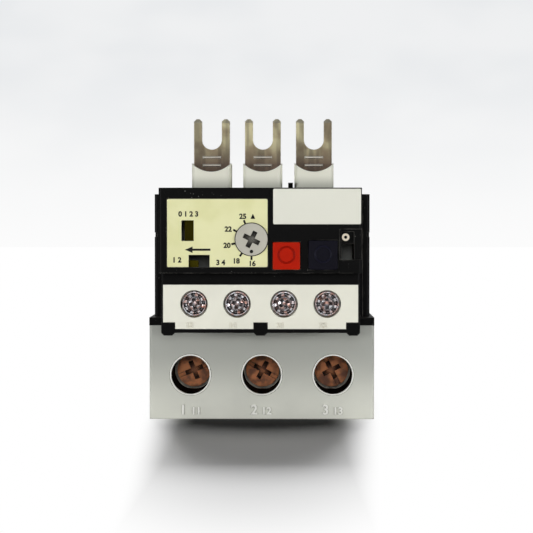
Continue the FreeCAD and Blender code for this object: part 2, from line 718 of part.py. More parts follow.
def bimetal(pole):
    """Bimetal strip: its lower end stands by the load bar's tab, its free tip reaches the slider."""
    body = new_body(f"bimetal_{pole + 2}", x=f"{pole} * fork_pitch")
    extrude(body, "Y", [box("-bimetal_thickness / 2", "flange_z + bimetal_rise",
                            "bimetal_thickness / 2", "slider_top + slider_slack")],
            "bar_back", "bar_back + bimetal_width")


def skin(label, rings):
    """Make a solid of flat facets over successive rings of points, closed by its two end rings."""
    faces = [Part.Face(Part.makePolygon(ring + ring[:1])) for ring in (rings[0], rings[-1])]
    for near, far in zip(rings, rings[1:]):
        for side in range(len(near)):
            after = (side + 1) % len(near)
            for corners in ([near[side], near[after], far[after]], [near[side], far[after], far[side]]):
                faces.append(Part.Face(Part.makePolygon(corners + corners[:1])))
    shell = Part.makeShell(faces)
    shell.sewShape()
    solid = Part.makeSolid(shell)
    item = doc.addObject("Part::Feature", label)
    item.Shape = solid if solid.Volume > 0 else solid.reversed()
    item.Label = label
    nodes.append(item)
    return item


def place(item, x, y, z):
    """Bind an item's place to three formulas."""
    for axis, formula in (("x", x), ("y", y), ("z", z)):
        item.setExpression(f"Placement.Base.{axis}", spell(formula))


def heater(pole):
    """Flat heater ribbon wound about the bimetal from the load bar's wing up to the fork's foot."""
    across = SIZES["bimetal_thickness"] / 2 + SIZES["winding_spread"]
    deep = SIZES["bimetal_width"] / 2 + SIZES["winding_gap"]
    rise = (SIZES["housing_height"] - SIZES["wall"] - SIZES["fork_root"] + SIZES["fork_thickness"]
            - SIZES["wing_height"])
    side, ribbon = SIZES["ribbon_thickness"] / 2, SIZES["ribbon_width"]
    steps = 4 * max(1, round(rise / SIZES["winding_pitch"])) + 1
    rings = []
    for step in range(steps + 1):
        along = -1 if step % 4 in (0, 3) else 1
        inward = -1 if step % 4 in (0, 1) else 1
        low = step * (rise - ribbon) / steps
        rings.append([FreeCAD.Vector(along * (across + out), inward * (deep + out), low + up)
                      for out, up in ((-side, 0), (side, 0), (side, ribbon), (-side, ribbon))])
    winding = skin(f"heater_{pole + 2}", rings)
    place(winding, f"{pole} * fork_pitch", "bimetal_mid", "wing_top")


def trip_slider():
    """Insulating slider that rides on the partitions and gathers the three bimetal tips."""
    body = new_body("trip_slider")
    nose = "lever_left - slider_slack"
    front, back = "bar_back - winding_gap", "bar_back + bimetal_width + winding_gap"
    left, right = "fork_pitch + wing_half", "fork_pitch + wing_half / 2"
    extrude(body, "Z", [[(f"-({left})", front), (right, front), (nose, "bimetal_mid - partition / 2"),
                         (nose, "bimetal_mid + partition / 2"), (right, back), (f"-({left})", back)]],
            "slider_low", "slider_top")
    slots = [box(f"{pole} * fork_pitch - bimetal_thickness / 2 - slider_travel - 2 * slider_slack",
                 "bar_back - 2 * slider_slack",
                 f"{pole} * fork_pitch + bimetal_thickness / 2 + slider_slack",
                 "bar_back + bimetal_width + 2 * slider_slack") for pole in POLES]
    extrude(body, "Z", slots, "slider_low", "slider_top", cut=True)


def mechanism_base():
    """Black plate snapped into the housing by four tabs, with a bracket and window for the lever."""
    body = new_body("mechanism_base")
    side = "(inner_x - moulding_gap)"
    extrude(body, "Y", [box(f"-{side}", "flange_z", side, "roof_z")],
            "housing_y", "housing_y + plate_thickness")
    tabs = [around(f"{side} tab_spacing / 2", "housing_y + plate_thickness / 2", "tab_width / 2",
                   "plate_thickness / 4") for side in ("0 -", "")]
    extrude(body, "Z", tabs, "flange_z - tab_reach", "roof_z + tab_reach")
    reach = "(2 * slider_travel)"
    extrude(body, "Y", [box(f"lever_left - {reach} / 2", "slider_low - lever_rise",
                            f"lever_left + lever_arm + {reach}", "slider_top + lever_rise")],
            "housing_y", "housing_y + plate_thickness", cut=True)
    extrude(body, "Z", [box("lever_x - lever_hub / 2", "lever_y - lever_hub / 2",
                            "lever_x + lever_hub / 2", "housing_y")],
            "slider_low - lever_rise - frame_thickness", "slider_low - lever_rise")
    extrude(body, "Z", [around("lever_x", "lever_y", "lever_pin / 2", "lever_pin / 2")],
            "slider_low - lever_rise - frame_thickness", "slider_low - lever_rise", cut=True)


def mechanism_frame():
    """Grey frame behind the face: spring wall, top shelf and bearings for dial shaft and lever pin."""
    body = new_body("mechanism_frame")
    extrude(body, "X", [[("frame_y", "lip_top"), ("frame_back", "lip_top"),
                         ("frame_back", "shelf_top - frame_thickness"),
                         ("housing_y", "shelf_top - frame_thickness"), ("housing_y", "shelf_top"),
                         ("frame_y", "shelf_top")]], "-frame_half", "frame_half")
    extrude(body, "Y", [bore("dial_x", "dial_z", "dial_pivot + pin_gap")], "frame_y", "frame_back", cut=True)
    extrude(body, "Z", [around("lever_x", "lever_y", "lever_pin / 2", "lever_pin / 2")],
            "shelf_top - frame_thickness", "shelf_top", cut=True)


def lever_pin():
    """Steel pin on which the trip lever turns."""
    body = new_body("lever_pin", x="lever_x", y="lever_y")
    extrude(body, "Z", [("0", "0", "lever_pin / 2")],
            "slider_low - lever_rise - frame_thickness", "shelf_top")


def trip_lever():
    """Lever from the slider's nose to the contact carrier: hub, rear arm and side arm."""
    body = new_body("trip_lever", x="lever_x", y="lever_y")
    low, high = "slider_low - lever_rise + pin_gap", "slider_top + lever_rise - pin_gap"
    extrude(body, "Z", [("0", "0", "lever_hub / 2")], low, high)
    extrude(body, "Z", [box("-lever_arm / 2", "0", "lever_arm / 2", "bimetal_mid + partition - lever_y")],
            low, high)
    extrude(body, "Z", [box("-lever_reach", "-lever_bar / 2", "0", "lever_bar / 2")],
            low, "slider_low - lever_rise + pin_gap + lever_rise")
    extrude(body, "Z", [bore("0", "0", "lever_pin / 2 + pin_gap")], low, high, cut=True)


def contact_carrier():
    """Insulating carrier that moves both contact bridges, with a tail up to the trip lever."""
    body = new_body("contact_carrier")
    top = "blade_top + carrier_thickness"
    extrude(body, "Z", [box("-carrier_half", "frame_back + 2 * moulding_gap", "carrier_half",
                            "aux_bar_back + bridge_thickness + carrier_thickness")], "blade_top", top)
    post = "(lever_x - lever_reach)"
    tail = [("aux_bar_back", "blade_top"),
            ("lever_y + lever_bar / 2 + slider_slack + carrier_thickness", "blade_top"),
            ("lever_y + lever_bar / 2 + slider_slack + carrier_thickness", "slider_low + moulding_gap"),
            ("lever_y + lever_bar / 2 + slider_slack", "slider_low + moulding_gap"),
            ("lever_y + lever_bar / 2 + slider_slack", top),
            ("aux_bar_back", top)]
    extrude(body, "X", [tail], f"{post} - carrier_thickness / 2", f"{post} + carrier_thickness / 2")


def contact_bridge(label, side, low, high):
    """Silver-tipped bridge hanging under the carrier and spanning one pair of blades."""
    body = new_body(label)
    half = "aux_blade_width / 2"
    inner, outer = f"aux_inner - {half}", f"aux_outer + {half}"
    ends = (inner, outer) if side > 0 else (f"-({outer})", f"-({inner})")
    extrude(body, "Y", [box(ends[0], "blade_top - bridge_height", ends[1], "blade_top")], low, high)


def terminal_block():
    """Black auxiliary block: four open-bottomed chambers, a seat for the white plate and three bumps."""
    body = new_body("terminal_block")
    profile = [("block_y", "block_low"), ("block_rear", "block_low"), ("block_rear", "flange_z + moulding_gap"),
               ("housing_y", "flange_z + moulding_gap"), ("housing_y", "block_top"), ("block_y", "block_top")]
    extrude(body, "X", [profile], "-block_width / 2", "block_width / 2")
    soften(body, "Fillet", front_edges(body, lambda edge: edge.BoundBox.XLength < TILT), "bump_radius")
    extrude(body, "Y", [around("0", "block_low + aux_plate_rise + aux_plate_height / 2",
                               "aux_plate_x + moulding_gap / 2", "aux_plate_height / 2")],
            "block_y", "aux_front", cut=True)
    chambers = [box(f"{place} - aux_chamber / 2", "aux_front", f"{place} + aux_chamber / 2", "aux_end")
                for place in AUX_PLACES]
    extrude(body, "Z", chambers, "block_low", "aux_chamber_top", cut=True)
    slots = [box(f"{place} - aux_blade_width / 2 - moulding_gap", "aux_bar_y - moulding_gap",
                 f"{place} + aux_blade_width / 2 + moulding_gap", "aux_bar_back + moulding_gap")
             for place in AUX_PLACES]
    extrude(body, "Z", slots, "aux_chamber_top", "block_top", cut=True)
    for place in ("-(block_width / 2 - bump_width / 2)", "0", "(block_width / 2 - bump_width / 2)"):
        left, right = f"({place} - bump_width / 2)", f"({place} + bump_width / 2)"
        foot, bevel = "(block_low - bump_drop)", "bump_drop"
        for back, top in (("aux_front", "bump_height"),
                          ("block_y + bump_depth", "bump_drop + aux_plate_rise / 2")):
            bump = [(f"{left} + {bevel}", foot), (f"{right} - {bevel}", foot), (right, f"{foot} + {bevel}"),
                    (right, f"{foot} + {top}"), (left, f"{foot} + {top}"), (left, f"{foot} + {bevel}")]
            extrude(body, "Y", [bump], "block_y", back)


def terminal_plate():
    """White plate over the auxiliary terminals: four screw holes and three notches at its foot."""
    body = new_body("terminal_plate")
    half, low = "aux_plate_x", "block_low + aux_plate_rise"
    high = "block_low + aux_plate_rise + aux_plate_height"
    notch = "(block_low - bump_drop + bump_height + moulding_gap)"
    side = "(block_width / 2 - bump_width - moulding_gap)"
    middle = "(bump_width / 2 + moulding_gap)"
    right = [(middle, notch), (middle, low), (side, low), (side, notch), (half, notch), (half, high)]
    left = [(f"-{x}", z) for x, z in reversed(right)]
    extrude(body, "Y", [right + left], "block_y", "aux_front")
    holes = [(place, "aux_z", "aux_hole / 2") for place in AUX_PLACES]
    extrude(body, "Y", holes, "block_y", "aux_front", cut=True)


def aux_bar(number, place):
    """Brass auxiliary terminal: clamp bar with a nut, rising as a contact blade behind the face."""
    body = new_body(f"aux_bar_{number}", x=place)
    extrude(body, "Y", [box("-aux_bar_width / 2", "block_low + aux_bar_foot", "aux_bar_width / 2",
                            "aux_chamber_top")], "aux_bar_y", "aux_bar_back")
    extrude(body, "Y", [box("-aux_blade_width / 2", "aux_chamber_top", "aux_blade_width / 2", "blade_top")],
            "aux_bar_y", "aux_bar_back")
    extrude(body, "Y", [around("0", "aux_z", "aux_nut / 2", "aux_nut / 2")],
            "aux_bar_back", "aux_bar_back + aux_nut_thickness")
    extrude(body, "Y", [bore("0", "aux_z", "aux_shank / 2 + thread_gap")],
            "aux_bar_y", "aux_bar_back + aux_nut_thickness", cut=True)


def aux_screw(number, place):
    """Auxiliary screw: low head with a cross recess."""
    names = ("aux_head", "aux_head_height", "aux_shank", "aux_shank_length", "aux_head_y")
    screw(f"aux_screw_{number}", place, "aux_z", TURNS["aux"][number - 1], names,
          [(cross("aux_cross", "aux_slot"), "aux_head_height / 2")])


def aux_clamp(number, place):
    """Square pressure plate under the auxiliary screw's head."""
    body = new_body(f"aux_clamp_{number}", x=place, y="aux_seat_y", z="aux_z")
    extrude(body, "Y", [around("0", "0", "aux_clamp / 2", "aux_clamp / 2")], "0", "aux_clamp_thickness")
    extrude(body, "Y", [bore("0", "0", "aux_shank / 2 + thread_gap")], "0", "aux_clamp_thickness", cut=True)


def front_cover():
    """Black face housing: label seat, dial hole, windows, button holes, plate pegs and selector slot."""
    body = new_body("front_cover")
    outer = [("face_y", "lip_low"), ("block_y", "lip_low"), ("block_y", "block_top"),
             ("housing_y", "block_top"), ("housing_y", "cover_top"), ("face_y", "cover_top")]
    extrude(body, "X", [outer], "-cover_x", "cover_x")
    soften(body, "Fillet", front_edges(body, lambda edge: edge.BoundBox.XLength < TILT), "corner_radius")
    inner = [("behind_face", "lip_top"), ("block_y", "lip_top"), ("block_y", "block_top"),
             ("housing_y", "block_top"), ("housing_y", "cover_top - cover_wall"),
             ("behind_face", "cover_top - cover_wall")]
    extrude(body, "X", [inner], "cover_wall - cover_x", "cover_x - cover_wall", cut=True)
    extrude(body, "Y", [box("-label_left", "label_low", "label_right", "label_low + label_height")],
            "face_y", "face_y + label_thickness", cut=True)
    windows = [box("trip_low_x", "block_top + trip_rise", "trip_low_x + trip_width",
                   "block_top + trip_rise + trip_height"),
               box("test_low_x", "label_low", "test_low_x + test_width", "label_low + test_height")]
    for name in ("stop", "reset"):
        windows.append(box(f"{name}_left - button_gap", "lip_top",
                           f"{name}_left + {name}_width + button_gap",
                           f"button_low + {name}_width + button_gap"))
    windows.append(box("selector_slot_left", "selector_low", "selector_slot_left + selector_slot_width",
                       "selector_low + selector_slot_height"))
    windows.append(("dial_x", "dial_z", "dial_radius + dial_gap"))
    windows += [around(spot, "block_top + name_rise + name_height / 2", "name_peg + moulding_gap / 2",
                       "name_peg + moulding_gap / 2")
                for spot in ("name_left + name_peg_inset", "name_left + name_width - name_peg_inset")]
    extrude(body, "Y", windows, "face_y", "behind_face", cut=True)
    recess = box("selector_slot_left - selector_inset", "selector_low", "cover_x",
                 "selector_low + selector_recess_height")
    extrude(body, "Y", [recess], "face_y", "face_y + selector_recess", cut=True)


def label_plate():
    """Cream dial label, flush in its seat, open round the dial and at both windows."""
    body = new_body("label_plate")
    gap = "moulding_gap / 2"
    extrude(body, "Y", [box(f"{gap} - label_left", f"label_low + {gap}", f"label_right - {gap}",
                            f"label_low + label_height - {gap}")], "face_y", "face_y + label_thickness")
    soften(body, "Fillet", corner_edges(body, "Y"), "button_radius")
    for opening in (box("trip_low_x", "block_top + trip_rise", "trip_low_x + trip_width",
                        "block_top + trip_rise + trip_height"),
                    box("test_low_x", "lip_top", "test_low_x + test_width", "label_low + test_height"),
                    ("dial_x", "dial_z", "dial_radius + label_ring")):
        extrude(body, "Y", [opening], "face_y", "face_y + label_thickness", cut=True)


def name_plate():
    """Blank white plate standing proud of the face on two pegs."""
    body = new_body("name_plate")
    low = "block_top + name_rise"
    extrude(body, "Y", [box("name_left", low, "name_left + name_width", f"{low} + name_height")],
            "face_y - plate_proud", "face_y")
    soften(body, "Fillet", corner_edges(body, "Y"), "button_radius")
    pegs = [around(spot, f"{low} + name_height / 2", "name_peg", "name_peg")
            for spot in ("name_left + name_peg_inset", "name_left + name_width - name_peg_inset")]
    extrude(body, "Y", pegs, "face_y", "behind_face")


def dial():
    """Current-setting dial: knob with a cross slot, flange, square shaft with a one-sided cam, and pivot."""
    body = new_body("dial", x="dial_x", z="dial_z", turn="dial_slot_angle")
    knob_front = "(face_y - dial_proud)"
    seat = "(behind_face + moulding_gap)"
    flange = f"({seat} + frame_thickness)"
    revolve(body, [("0", knob_front), ("dial_radius", knob_front), ("dial_radius", seat),
                   ("dial_radius + dial_flange", seat), ("dial_radius + dial_flange", flange), ("0", flange)])
    extrude(body, "Y", [around("0", "0", "dial_shaft / sqrt(2)", "dial_shaft / sqrt(2)")],
            flange, "frame_y - pin_gap")
    extrude(body, "Y", [around("dial_cam_shift", "0", "dial_shaft", "dial_shaft / sqrt(2)")],
            flange, "frame_y - dial_shaft")
    extrude(body, "Y", [("0", "0", "dial_pivot")], "frame_y - pin_gap", "frame_back")
    extrude(body, "Y", [cross("dial_slot_length", "dial_slot")], knob_front,
            f"{knob_front} + dial_slot_depth", cut=True)


def button(name):
    """Square push button: cap, stop flange and a ribbed spigot for its spring."""
    body = new_body(f"{name}_button")
    left, width = f"{name}_left", f"{name}_width"
    front = "(face_y - button_proud)"
    centre = (f"{left} + {width} / 2", f"button_low + {width} / 2")
    extrude(body, "Y", [box(left, "button_low", f"{left} + {width}", f"button_low + {width}")],
            front, "behind_face")
    soften(body, "Fillet", corner_edges(body, "Y"), "button_radius")
    extrude(body, "Y", [box(f"{left} - button_flange", "button_low", f"{left} + {width} + button_flange",
                            f"button_low + {width} + button_flange")], "behind_face", "button_rest")
    for wide, tall in (("spigot_radius", "spigot_radius / 3"), ("spigot_radius / 3", "spigot_radius")):
        extrude(body, "Y", [around(*centre, wide, tall)], "button_rest", "button_rest + spigot_length")


def button_spring(name):
    """Return spring on a button's spigot: a coil whose round wire is drawn with flat facets."""
    wire, radius = SIZES["spring_wire"], SIZES["spring_radius"]
    length = SIZES["frame_setback"] - SIZES["frame_thickness"] - SIZES["button_flange_thickness"]
    count = SPRING_SIDES * SPRING_TURNS
    climb = (length - 2 * wire) / count
    rings = []
    for step in range(count + 1):
        turn = 2 * pi * step / SPRING_SIDES
        ring = []
        for side in range(WIRE_SIDES):
            angle = 2 * pi * side / WIRE_SIDES
            out = radius + wire * sin(angle)
            ring.append(FreeCAD.Vector(out * cos(turn), wire + step * climb + wire * cos(angle),
                                       out * sin(turn)))
        rings.append(ring)
    coil = skin(f"{name}_spring", rings)
    place(coil, f"{name}_left + {name}_width / 2", "button_rest", f"button_low + {name}_width / 2")


def test_slider():
    """Olive test slide behind the face: a tab in the test window joined to the trip flag by an arm."""
    body = new_body("test_slider")
    left = "(test_low_x + tester_inset)"
    flag = "(trip_low_x + trip_width)"
    elbow = "(block_top + trip_rise - tester_inset)"
    tab_top = "label_low + tester_tab_rise"
    top = "block_top + trip_rise + trip_height + tester_inset"
    extrude(body, "Y", [[(f"{left} - tester_inset - tester_arm", "label_low"),
                         (f"{left} + tester_tab", "label_low"),
                         (f"{left} + tester_tab", tab_top), (f"{left} - 2 * tester_inset", tab_top),
                         (f"{left} - 2 * tester_inset", f"{elbow} - tester_inset"),
                         (f"{flag} + tester_inset", f"{elbow} - tester_inset"), (f"{flag} + tester_inset", top),
                         (f"{flag} - tester_flag", top), (f"{flag} - tester_flag", elbow),
                         (f"{left} - tester_inset - tester_arm", elbow)]],
            "behind_face", "behind_face + tester_thickness")
    extrude(body, "Y", [box(left, "label_low", f"{left} + tester_tab", tab_top)],
            "face_y + label_thickness + moulding_gap", "behind_face")


def selector():
    """Black slide behind the face and the hollow cream pin that is pressed into it."""
    slide = new_body("selector")
    middle = "selector_slot_left + selector_slot_width / 2"
    extrude(slide, "Y", [around(middle, "selector_z", "selector_plate / 2", "selector_plate / 2")],
            "behind_face", "behind_face + tester_thickness")
    pin = new_body("selector_pin")
    extrude(pin, "Y", [("selector_x", "selector_z", "selector_radius")],
            "face_y + selector_inset", "behind_face")
    extrude(pin, "Y", [bore("selector_x", "selector_z", "selector_bore")],
            "face_y + selector_inset", "behind_face", cut=True)


def build():
    """Build every sub-part, from the foot up and from the rear forwards."""
    terminal_shroud()
    load_carrier()
    main_housing()
    pole_collars()
    for pole in POLES:
        fork_terminal(pole)
        load_bar(pole)
        load_screw(pole)
        load_clamp(pole)
        bimetal(pole)
        heater(pole)
    trip_slider()
    mechanism_base()
    mechanism_frame()
    lever_pin()
    trip_lever()
    contact_carrier()
    contact_bridge("opening_bridge", 1, "aux_bar_back", "aux_bar_back + bridge_thickness")
    contact_bridge("closing_bridge", -1,
                   "aux_bar_y - contact_gap - bridge_thickness", "aux_bar_y - contact_gap")
    terminal_block()
    terminal_plate()
    for number, place in enumerate(AUX_PLACES, start=1):
        aux_bar(number, place)
        aux_screw(number, place)
        aux_clamp(number, place)
    front_cover()
    label_plate()
    name_plate()
    dial()
    for name in ("stop", "reset"):
        button(name)
        button_spring(name)
    test_slider()
    selector()


def check_objects():
    """Stop if any object is in error or any sub-part has no valid solid."""
    for item in doc.Objects:
        if "Invalid" in item.State or "Error" in item.State:
            raise RuntimeError(f"{item.Label} is in error: {item.State}")
    for node in nodes:
        if node.Shape.isNull() or not node.Shape.isValid() or not node.Shape.Solids:
            raise RuntimeError(f"{node.Label} has no valid solid")


build()
doc.recompute()
check_objects()
os.makedirs("parts", exist_ok=True)
for node in nodes:
    node.Shape.exportStep(f"parts/{node.Label}.step")
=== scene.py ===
import logging
import math
from dataclasses import dataclass
from enum import Enum
from typing import Dict, Iterable, List, Optional, Sequence, Tuple, Union

import bmesh
import bpy
import numpy as np
from bpy.types import Material, Mesh, Node, NodeSocket, Object, bpy_prop_collection
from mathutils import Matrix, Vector


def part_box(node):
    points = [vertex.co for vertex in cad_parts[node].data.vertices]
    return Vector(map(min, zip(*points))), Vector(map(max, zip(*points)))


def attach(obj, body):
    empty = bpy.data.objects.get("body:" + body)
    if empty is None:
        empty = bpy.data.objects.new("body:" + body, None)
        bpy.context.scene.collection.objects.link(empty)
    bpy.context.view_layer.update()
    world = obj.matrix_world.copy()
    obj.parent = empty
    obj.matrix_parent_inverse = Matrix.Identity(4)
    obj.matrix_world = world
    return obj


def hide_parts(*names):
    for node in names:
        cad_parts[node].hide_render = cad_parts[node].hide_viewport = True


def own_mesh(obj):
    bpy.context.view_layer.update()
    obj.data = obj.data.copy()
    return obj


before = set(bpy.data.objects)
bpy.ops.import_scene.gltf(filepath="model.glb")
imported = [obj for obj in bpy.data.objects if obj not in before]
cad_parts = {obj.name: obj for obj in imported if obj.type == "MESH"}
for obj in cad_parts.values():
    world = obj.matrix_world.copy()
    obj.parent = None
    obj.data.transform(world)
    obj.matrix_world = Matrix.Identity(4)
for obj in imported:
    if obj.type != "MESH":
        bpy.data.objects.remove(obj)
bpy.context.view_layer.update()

MM = 0.001
Colour = Tuple[float, float, float]
Place = Tuple[float, float, float]
Span = Tuple[float, float]
Number = Union[float, "Value"]
LOG = logging.getLogger("relay")


def linear(colour: Colour) -> Tuple[float, float, float, float]:
    """Turn a 0-255 display colour into the linear RGBA that a shader socket takes.

    Args:
        colour: red, green and blue as a display shows them.

    Returns:
        The same colour in linear light, with full alpha.
    """
    parts = [channel / 255.0 for channel in colour]
    light = [c / 12.92 if c <= 0.04045 else ((c + 0.055) / 1.055) ** 2.4 for c in parts]
    return (light[0], light[1], light[2], 1.0)


class Value:
    """A number that varies over a surface. Arithmetic on it adds Math nodes."""

    def __init__(self, shader: "Shader", socket: NodeSocket) -> None:
        """Wrap one output socket of a shader."""
        self.shader = shader
        self.socket = socket

    def math(self, operation: str, *operands: Number) -> "Value":
        """Add a Math node.

        Args:
            operation: the Math node's operation.
            operands: its inputs in order, as numbers or values.

        Returns:
            The node's result.
        """
        settings = {"operation": operation}
        node = self.shader.node("ShaderNodeMath", settings, dict(enumerate(operands)))
        return Value(self.shader, node.outputs[0])

    def __add__(self, other: Number) -> "Value":
        """Sum of this value and another."""
        return self.math("ADD", self, other)

    def __radd__(self, other: Number) -> "Value":
        """Sum of a number and this value."""
        return self.math("ADD", other, self)

    def __sub__(self, other: Number) -> "Value":
        """Difference of this value and another."""
        return self.math("SUBTRACT", self, other)

    def __rsub__(self, other: Number) -> "Value":
        """Difference of a number and this value."""
        return self.math("SUBTRACT", other, self)

    def __mul__(self, other: Number) -> "Value":
        """Product of this value and another."""
        return self.math("MULTIPLY", self, other)

    def ramp(self, low: float, high: float) -> "Value":
        """Smooth rise from 0 at low to 1 at high.

        Args:
            low: the value at which the rise starts.
            high: the value at which it ends.

        Returns:
            The smoothed and clamped value.
        """
        settings = {"interpolation_type": "SMOOTHSTEP"}
        inputs = {"Value": self, "From Min": low, "From Max": high}
        return Value(self.shader, self.shader.node("ShaderNodeMapRange", settings, inputs).outputs[0])


class Shader:
    """A material's node tree, with one method that makes any node."""

    bevel_samples = 6
    edge_span = (0.01, 0.2)
    cavity_samples = 6
    cavity_span = (0.12, 0.75)
    top_span = (0.2, 0.7)

    def __init__(self, name: str, blocks: Optional[bpy_prop_collection] = None) -> None:
        """Start an empty material of this name, or a world where the blocks are the file's worlds."""
        self.material = (bpy.data.materials if blocks is None else blocks).new(name)
        self.material.use_nodes = True
        self.tree = self.material.node_tree
        self.tree.nodes.clear()
        self.place = self.node("ShaderNodeTexCoord").outputs["Object"]

    def node(self, kind: str, settings: Optional[Dict] = None, inputs: Optional[Dict] = None) -> Node:
        """Add a node.

        Args:
            kind: the node's type.
            settings: its properties by name, set first.
            inputs: numbers, colours, sockets or values by the input's name or index.

        Returns:
            The new node.
        """
        made = self.tree.nodes.new(kind)
        for name, setting in (settings or {}).items():
            setattr(made, name, setting)
        for name, given in (inputs or {}).items():
            source = given.socket if isinstance(given, Value) else given
            if isinstance(source, NodeSocket):
                self.tree.links.new(source, made.inputs[name])
            else:
                made.inputs[name].default_value = source
        return made

    def noise(self, size: float, detail: float = 2.0, stretch: Place = (1.0, 1.0, 1.0)) -> Value:
        """Smooth noise in the object's own coordinates.

        Args:
            size: the size of one patch in millimetres.
            detail: how many finer layers are added.
            stretch: frequency along X, Y and Z relative to the rest.

        Returns:
            Noise from 0 to 1, about 0.5 on average.
        """
        scale = tuple(part / (size * MM) for part in stretch)
        spread = self.node("ShaderNodeMapping", {}, {"Vector": self.place, "Scale": scale})
        inputs = {"Vector": spread.outputs[0], "Scale": 1.0, "Detail": detail}
        return Value(self, self.node("ShaderNodeTexNoise", {}, inputs).outputs[0])

    def mix(self, share: Number, first: object, second: object) -> NodeSocket:
        """Blend two linear colours or colour sockets: share is how much of the second shows."""
        inputs = {0: share, 6: first, 7: second}
        return self.node("ShaderNodeMix", {"data_type": "RGBA"}, inputs).outputs[2]

    def rounded(self, radius: float) -> Tuple[NodeSocket, Value]:
        """Round the edges in the shading.

        Args:
            radius: edge radius in millimetres.

        Returns:
            The rounded normal, and a mask that is 1 along sharp edges.
        """
        settings = {"samples": self.bevel_samples}
        normal = self.node("ShaderNodeBevel", settings, {"Radius": radius * MM}).outputs[0]
        true = self.node("ShaderNodeNewGeometry").outputs["Normal"]
        likeness = self.node("ShaderNodeVectorMath", {"operation": "DOT_PRODUCT"}, {0: normal, 1: true})
        return normal, (1.0 - Value(self, likeness.outputs["Value"])).ramp(*self.edge_span)

    def cavity(self, reach: float, samples: int = cavity_samples) -> Value:
        """Mask of grooves, holes and corners: reach is how far the surface looks for walls, in mm."""
        node = self.node("ShaderNodeAmbientOcclusion", {"samples": samples}, {"Distance": reach * MM})
        return (1.0 - Value(self, node.outputs["AO"])).ramp(*self.cavity_span)

    def along(self, axis: str) -> Value:
        """One of the object's own coordinates in millimetres: axis is X, Y or Z."""
        parts = self.node("ShaderNodeSeparateXYZ", {}, {"Vector": self.place})
        return Value(self, parts.outputs[axis]) * (1.0 / MM)

    def upward(self) -> Value:
        """Mask of faces that look up: 0 on a wall and 1 on a top."""
        normal = self.node("ShaderNodeNewGeometry").outputs["Normal"]
        parts = self.node("ShaderNodeSeparateXYZ", {}, {"Vector": normal})
        return Value(self, parts.outputs["Z"]).ramp(*self.top_span)

    def bump(self, height: Value, depth: float, normal: NodeSocket) -> NodeSocket:
        """Raise relief from 0 to 1 on top of a normal: depth is its full height in millimetres."""
        inputs = {"Height": height, "Distance": depth * MM, "Normal": normal}
        return self.node("ShaderNodeBump", {}, inputs).outputs[0]

    def finish(self, **inputs: object) -> Material:
        """Close the tree with the main shader.

        Args:
            inputs: the main shader's inputs, with underscores for spaces.

        Returns:
            The finished material.
        """
        named = {name.replace("_", " "): given for name, given in inputs.items()}
        surface = self.node("ShaderNodeBsdfPrincipled", {}, named)
        self.node("ShaderNodeOutputMaterial", {}, {"Surface": surface.outputs[0]})
        return self.material


@dataclass(frozen=True)
class Grime:
    """Painted shade in the hollows, darkening grooves, holes and corners: its share, its colour and how
    wide a hollow may be, in millimetres.
    """

    share: float
    colour: Colour
    reach: float


@dataclass(frozen=True)
class Fade:
    """Painted light and shade along Z, a second colour that stands in for how light falls: the two
    heights it blends between, in millimetres, and the colour.
    """

    low: float
    high: float
    colour: Colour


@dataclass(frozen=True)
class MouldedPlastic:
    """Injection-moulded plastic: faint mottling, fine grain, edges lightened partly by wear and partly
    as a painted highlight, a little dust and painted shade in the hollows.

    Sizes are in millimetres. A fade's colour is painted light and shade, and takes over towards its
    higher height.
    """

    name: str
    colour: Colour
    edge_colour: Colour
    roughness: float = 0.45
    gloss: float = 0.3
    grain: float = 0.01
    grain_size: float = 0.35
    mottling: float = 0.06
    edge_wear: float = 0.35
    edge_radius: float = 0.22
    dust: float = 0.0
    grime: Optional[Grime] = None
    fade: Optional[Fade] = None
    cloud_size: float = 9.0
    wear_size: float = 2.5
    speck_size: float = 0.34
    speck_patch: float = 6.0
    speck_colour: Colour = (205, 205, 200)
    fine_gloss: float = 0.12
    cloudy_gloss: float = 0.1

    def material(self) -> Material:
        """Build the material."""
        shader = Shader(self.name)
        normal, edges = shader.rounded(self.edge_radius)
        cloudy = shader.noise(self.cloud_size, 3.0)
        fine = shader.noise(self.grain_size, 2.0)
        shade = tuple(channel * (1.0 - self.mottling) for channel in self.colour)
        body = shader.mix(cloudy.ramp(0.3, 0.7), linear(shade), linear(self.colour))
        # Painted light and shade: the colour changes with height as light falls on the part.
        if self.fade:
            height = shader.along("Z").ramp(self.fade.low, self.fade.high)
            body = shader.mix(height, body, linear(self.fade.colour))
        # Edges take the edge colour: partly rubbed wear, partly a painted highlight.
        worn_and_highlit = edges * shader.noise(self.wear_size, 3.0).ramp(0.25, 0.75) * self.edge_wear
        body = shader.mix(worn_and_highlit, body, linear(self.edge_colour))
        if self.dust > 0.0:
            specks = shader.noise(self.speck_size, 0.0).ramp(0.8, 0.86)
            specks = specks * shader.noise(self.speck_patch, 1.0).ramp(0.5, 0.62)
            body = shader.mix(specks * self.dust, body, linear(self.speck_colour))
        # Painted shade: the colour darkens in grooves, holes and corners where shade falls.
        if self.grime:
            closed = shader.cavity(self.grime.reach) * self.grime.share
            body = shader.mix(closed, body, linear(self.grime.colour))
        rough = self.roughness + (fine - 0.5) * self.fine_gloss + (cloudy - 0.5) * self.cloudy_gloss
        return shader.finish(Base_Color=body, Roughness=rough, Specular_IOR_Level=self.gloss,
                             Normal=shader.bump(fine, self.grain, normal))


